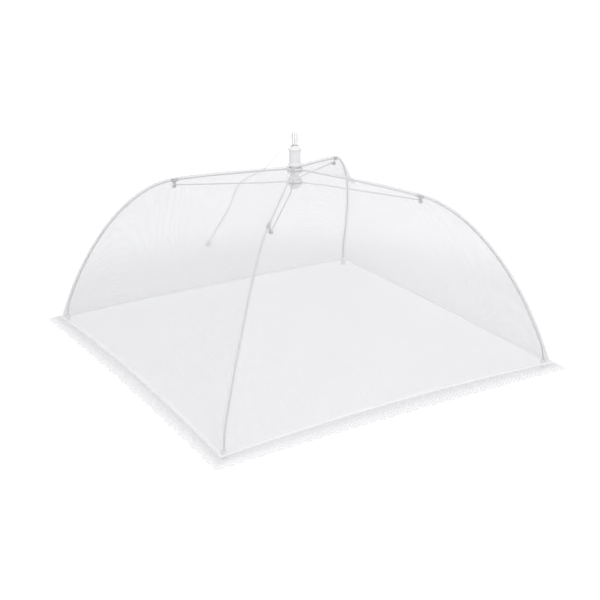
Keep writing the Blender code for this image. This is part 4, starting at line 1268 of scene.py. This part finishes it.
def build_frame_pieces(plastic, wire, steel, tape_cloth):
    """The pieces that each corner repeats, made on the diagonal and turned to the corner."""
    for k, corner in enumerate(CORNERS):
        bow = RIB_BOWS.get(corner, 0.0)
        pieces = (
            ("rib", "rib_sprung", rib_mesh(bow), wire, "rib_wire"),
            ("bracket", "bracket_crimped", bracket_mesh(bow), steel, "plated_steel"),
            ("rivet", "rivet_domed", rivet_mesh(bow), steel, "plated_steel"),
            ("rib_tip_cap", "tip_cap_round", tip_cap_mesh(), plastic, "white_plastic"),
            ("corner_pocket", "pocket_sewn", corner_pocket_mesh(), tape_cloth, "seam_tape"),
            ("stretcher", "stretcher_hooked", stretcher_mesh(bow), wire, "rib_wire"),
        )
        for node_word, piece_word, mesh, material, slot in pieces:
            mesh.transform(corner_turn(k))
            body = f"stretcher_{corner}" if node_word == "stretcher" else f"rib_{corner}"
            rigid(f"{piece_word}_{corner}", mesh, material, body, slot, f"{node_word}_{corner}")


# Cloth


def slack_of(side, share, across):
    """How far the net stands off its even surface, outwards, in millimetres."""
    loose = share**2 * (1.0 - across**2)
    x = across * 3.0 + side * 1.7
    ripple = math.sin(5.1 * x + 9.0 * share) + 0.6 * math.sin(8.3 * x - 14.0 * share + 1.3 * side)
    folds = SLACK_DEPTH * loose * ripple
    distance = ridge_at(share)[0] / math.sqrt(2.0)
    from_rib = distance * (1.0 - abs(across))
    from_hem = (1.0 - share) * REACH[-1]
    spread = math.hypot(from_rib, from_hem)
    fan = math.atan2(from_hem, from_rib)
    edge = min(1.0, from_rib / 6.0) * min(1.0, from_hem / 8.0)
    pucker = PUCKER_DEPTH * edge * math.exp(-((spread / PUCKER_REACH) ** 2)) * math.cos(9.0 * fan + side)
    return folds + pucker


def half_steps(end, count, reach=1.0):
    """Places across half a side, from its corner or to it: end is -1 at the left rib."""
    return np.linspace(-reach, 0.0, count) if end < 0 else np.linspace(0.0, reach, count)


def net_mesh(end, side, bow):
    """Half of a gore, from the rib's seam to the middle line."""
    rows, uv_rows = [], []
    steps = half_steps(end, NET_COLUMNS + 1)
    for share in np.linspace(0.0, 1.0, NET_ROWS + 1):
        half = ridge_at(share)[0] / math.sqrt(2.0)
        points = [gore_point(share, a, bow) + gore_normal(share, a, bow) * slack_of(side, share, a)
                  for a in steps]
        rows.append(points)
        uv_rows.append([(a * half, -gore_reach(share)) for a in steps])
    return grid_mesh("net_half", rows, uv_rows)


def lace_edge(x_side, half):
    """How much of the lace's full depth is left at a place along its scalloped edge."""
    fan = abs(math.sin(math.pi * x_side * half / SCALLOP_PITCH))
    return 1.0 - SCALLOP_SHARE * (1.0 - fan**0.7)


def gather(side, x_side, share):
    """The lace's gathers: how far it stands out of its even slope, growing to its free edge."""
    phase = 2.0 * math.pi * 7.5 * x_side + side
    wave = math.sin(phase) + 0.55 * math.sin(2.3 * phase + 1.1) + 0.35 * math.sin(4.1 * phase + 0.4 * side)
    held = min(1.0, 8.0 * (1.0 - abs(x_side)))
    return GATHER_DEPTH * 0.6 * share * wave * held


def lace_mesh(end, side):
    """Half of a side's lace, from the corner to the middle line."""
    rows, uv_rows = [], []
    steps = half_steps(end, LACE_COLUMNS // 2 + 1)
    hem_half = -lace_point(0.0, 1.0).y
    depth = (lace_point(1.0, 0.0) - lace_point(0.0, 0.0)).length
    for share in np.linspace(0.0, 1.0, LACE_ROWS + 1):
        row, uv_row = [], []
        for x_side in steps:
            reach = share * lace_edge(x_side, hem_half)
            point = lace_point(reach, x_side)
            out = gather(side, x_side, reach)
            row.append(point + Vector((0.0, -out, max(0.0, 0.45 * out))))
            uv_row.append((x_side * hem_half, reach * depth))
        rows.append(row)
        uv_rows.append(uv_row)
    return grid_mesh("lace_half", rows, uv_rows)


def tape_rows(widths, bow):
    """Rows across the tape over the front-left ridge, each point a signed distance from the fold."""
    first = float(np.interp(TAPE_START, RIDGE[:, 0], REACH)) / REACH[-1]
    last = ridge_share(TAPE_END_HEIGHT)
    turn = Matrix.Rotation(math.radians(-90.0), 3, "Z")
    rows = []
    for share in np.linspace(first, last, TAPE_ROWS + 1):
        half = ridge_at(share)[0] / math.sqrt(2.0)
        front_normal, left_normal = gore_normal(share, -1.0, bow), turn @ gore_normal(share, 1.0, bow)
        mitre = (front_normal + left_normal) / (1.0 + front_normal.dot(left_normal))
        row = []
        for width in widths:
            across = math.copysign(1.0 - abs(width) / half, -width)
            point = gore_point(share, across, bow) + gore_normal(share, across, bow) * LAYER_OFFSET
            if width == 0.0:
                point = gore_point(share, -1.0, bow) + mitre * (LAYER_OFFSET - FOLD_SINK)
            elif width < 0.0:
                point = turn @ point
            row.append(point)
        rows.append(row)
    return rows


def tape_mesh(bow):
    """The tape over the front-left ridge: a strip folded over it, outside the net."""
    widths = [TAPE_HALF_WIDTH * share for share in (-1.0, -0.75, -0.5, -0.25, 0.0, 0.25, 0.5, 0.75, 1.0)]
    rows = tape_rows(widths, bow)
    step = REACH[-1] / TAPE_ROWS
    uv_rows = [[(width, i * step) for width in widths] for i in range(len(rows))]
    return grid_mesh("seam_tape", rows, uv_rows)


# Stitches, by Geometry Nodes


def stitch_tree():
    """Nodes that lay one short rounded stitch after another along the seam lines they are given."""
    tree = bpy.data.node_groups.new("stitches_along_seams", "GeometryNodeTree")
    sockets = (("Seams", "NodeSocketGeometry"), ("Pitch", "NodeSocketFloat"),
               ("Stitch Length", "NodeSocketFloat"), ("Thread Radius", "NodeSocketFloat"),
               ("Thread", "NodeSocketMaterial"))
    for name, kind in sockets:
        tree.interface.new_socket(name, in_out="INPUT", socket_type=kind)
    tree.interface.new_socket("Stitches", in_out="OUTPUT", socket_type="NodeSocketGeometry")
    given = node(tree, "NodeGroupInput").outputs
    seams = node(tree, "GeometryNodeMeshToCurve", {"Mesh": given["Seams"]})
    places = node(tree, "GeometryNodeCurveToPoints", {"Curve": seams, "Length": given["Pitch"]},
                  mode="LENGTH")
    lie = node(tree, "FunctionNodeAlignRotationToVector", {"Vector": places.outputs["Tangent"]}, axis="Z")
    bead = node(tree, "GeometryNodeMeshUVSphere",
                {"Segments": 6, "Rings": 4, "Radius": given["Thread Radius"]})
    stretch = maths(tree, "DIVIDE", given["Stitch Length"], given["Thread Radius"])
    half = maths(tree, "MULTIPLY", stretch, 0.5)
    scale = node(tree, "ShaderNodeCombineXYZ", {"X": 1.0, "Y": 1.0, "Z": half})
    stitch = node(tree, "GeometryNodeTransform", {"Geometry": bead, "Scale": scale})
    laid = node(tree, "GeometryNodeInstanceOnPoints",
                {"Points": places.outputs["Points"], "Instance": stitch, "Rotation": lie})
    real = node(tree, "GeometryNodeRealizeInstances", {"Geometry": laid})
    soft = node(tree, "GeometryNodeSetShadeSmooth", {"Geometry": real})
    dyed = node(tree, "GeometryNodeSetMaterial", {"Geometry": soft, "Material": given["Thread"]})
    node(tree, "NodeGroupOutput", {"Stitches": dyed})
    return tree


def stitch_mesh(name, tree, thread, lines):
    """Stitches along lines of points in millimetres."""
    shape = bmesh.new()
    for line in lines:
        verts = [shape.verts.new(Vector(point) * MM) for point in line]
        for a, b in zip(verts, verts[1:]):
            shape.edges.new((a, b))
    obj = bpy.data.objects.new(name, finished(shape, name))
    bpy.context.scene.collection.objects.link(obj)
    sewn = obj.modifiers.new("stitches", "NODES")
    sewn.node_group = tree
    wanted = {"Pitch": STITCH_PITCH * MM, "Stitch Length": STITCH_LENGTH * MM,
              "Thread Radius": THREAD_RADIUS * MM, "Thread": thread}
    for item in tree.interface.items_tree:
        if item.in_out == "INPUT" and item.name in wanted:
            sewn[item.identifier] = wanted[item.name]
    return plain_mesh(obj, name)


def seam_lines(end, side):
    """The stitched line where half of a side's lace is sewn on."""
    off_lace = Vector((0.0, -0.2, 0.1))
    return [[lace_point(SEWN_AT, x_side) + off_lace for x_side in half_steps(end, 90, SEAM_REACH)]]


def build_cover(net_cloth, lace_cloth, tape_cloth, thread):
    """Each side's two halves of net and lace, each corner's tape, and their stitches."""
    tree = stitch_tree()
    edge = TAPE_HALF_WIDTH - TAPE_SEAM_IN
    for k, corner in enumerate(CORNERS):
        bow = RIB_BOWS.get(corner, 0.0)
        turn = quarter_turn(k)
        strip = tape_mesh(bow)
        strip.transform(turn)
        seam = stand_in(f"seam_tape_folded_{corner}", strip, tape_cloth, "seam_tape",
                        f"seam_tape_{corner}")
        bend_on_ridge(seam)
        tape_seams = [list(line) for line in zip(*tape_rows((-edge, edge), bow))]
        stitches = stitch_mesh(f"tape_stitches_{corner}", tree, thread, tape_seams)
        stitches.transform(turn)
        sewn = stand_in(f"tape_stitches_{corner}", stitches, thread, "seam_tape")
        bend_on_ridge(sewn)
        for end, side in ((-1, k), (1, (k - 1) % len(SIDES))):
            label = f"{SIDES[side]}_{other_word(corner, SIDES[side])}"
            turn = quarter_turn(side)
            gore = net_mesh(end, side, bow)
            gore.transform(turn)
            net = stand_in(f"net_gore_{label}", gore, net_cloth, "net", f"net_{label}")
            bend_half(net)
            hem = lace_mesh(end, side)
            hem.transform(turn)
            lace = stand_in(f"lace_edging_{label}", hem, lace_cloth, "lace", f"lace_{label}")
            bend_half(lace)
            stitches = stitch_mesh(f"lace_stitches_{label}", tree, thread, seam_lines(end, side))
            stitches.transform(turn)
            rows = stand_in(f"lace_stitches_{label}", stitches, thread, "lace")
            bend_half(rows)


# The whole scene

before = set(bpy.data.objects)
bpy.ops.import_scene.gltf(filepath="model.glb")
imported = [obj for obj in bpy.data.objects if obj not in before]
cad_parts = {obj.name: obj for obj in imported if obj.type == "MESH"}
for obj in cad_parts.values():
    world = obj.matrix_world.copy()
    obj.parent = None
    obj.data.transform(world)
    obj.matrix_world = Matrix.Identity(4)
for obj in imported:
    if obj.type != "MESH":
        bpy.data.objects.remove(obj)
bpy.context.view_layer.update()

build_camera()
build_floor()
build_world()
build_lamp("overhead_softbox", (100.0, -100.0, 1700.0), 1300.0, 7.0)
build_lamp("front_softbox", (-700.0, -1600.0, 1300.0), 1200.0, 9.0)
bpy.context.scene.view_settings.view_transform = "Standard"

white_plastic = moulded_polypropylene("moulded_white_polypropylene", "#FAFAFA", "#F1F1F3")
# The split rod's plastic is a little greyer than the hub around it.
greyer_rod_plastic = moulded_polypropylene("moulded_greyer_polypropylene", "#F0F0F1", "#E8E8EA")
spring_wire = drawn_spring_wire()
plated_steel = stamped_plated_steel()
net = knitted_net()
lace = raschel_lace()
tape = knitted_tape()
cord_yarn = braided_cord()
thread = sewing_thread()

build_cord(cord_yarn)
build_hub(white_plastic, greyer_rod_plastic, plated_steel, tape)
build_frame_pieces(white_plastic, spring_wire, plated_steel, tape)
build_cover(net, lace, tape, thread)
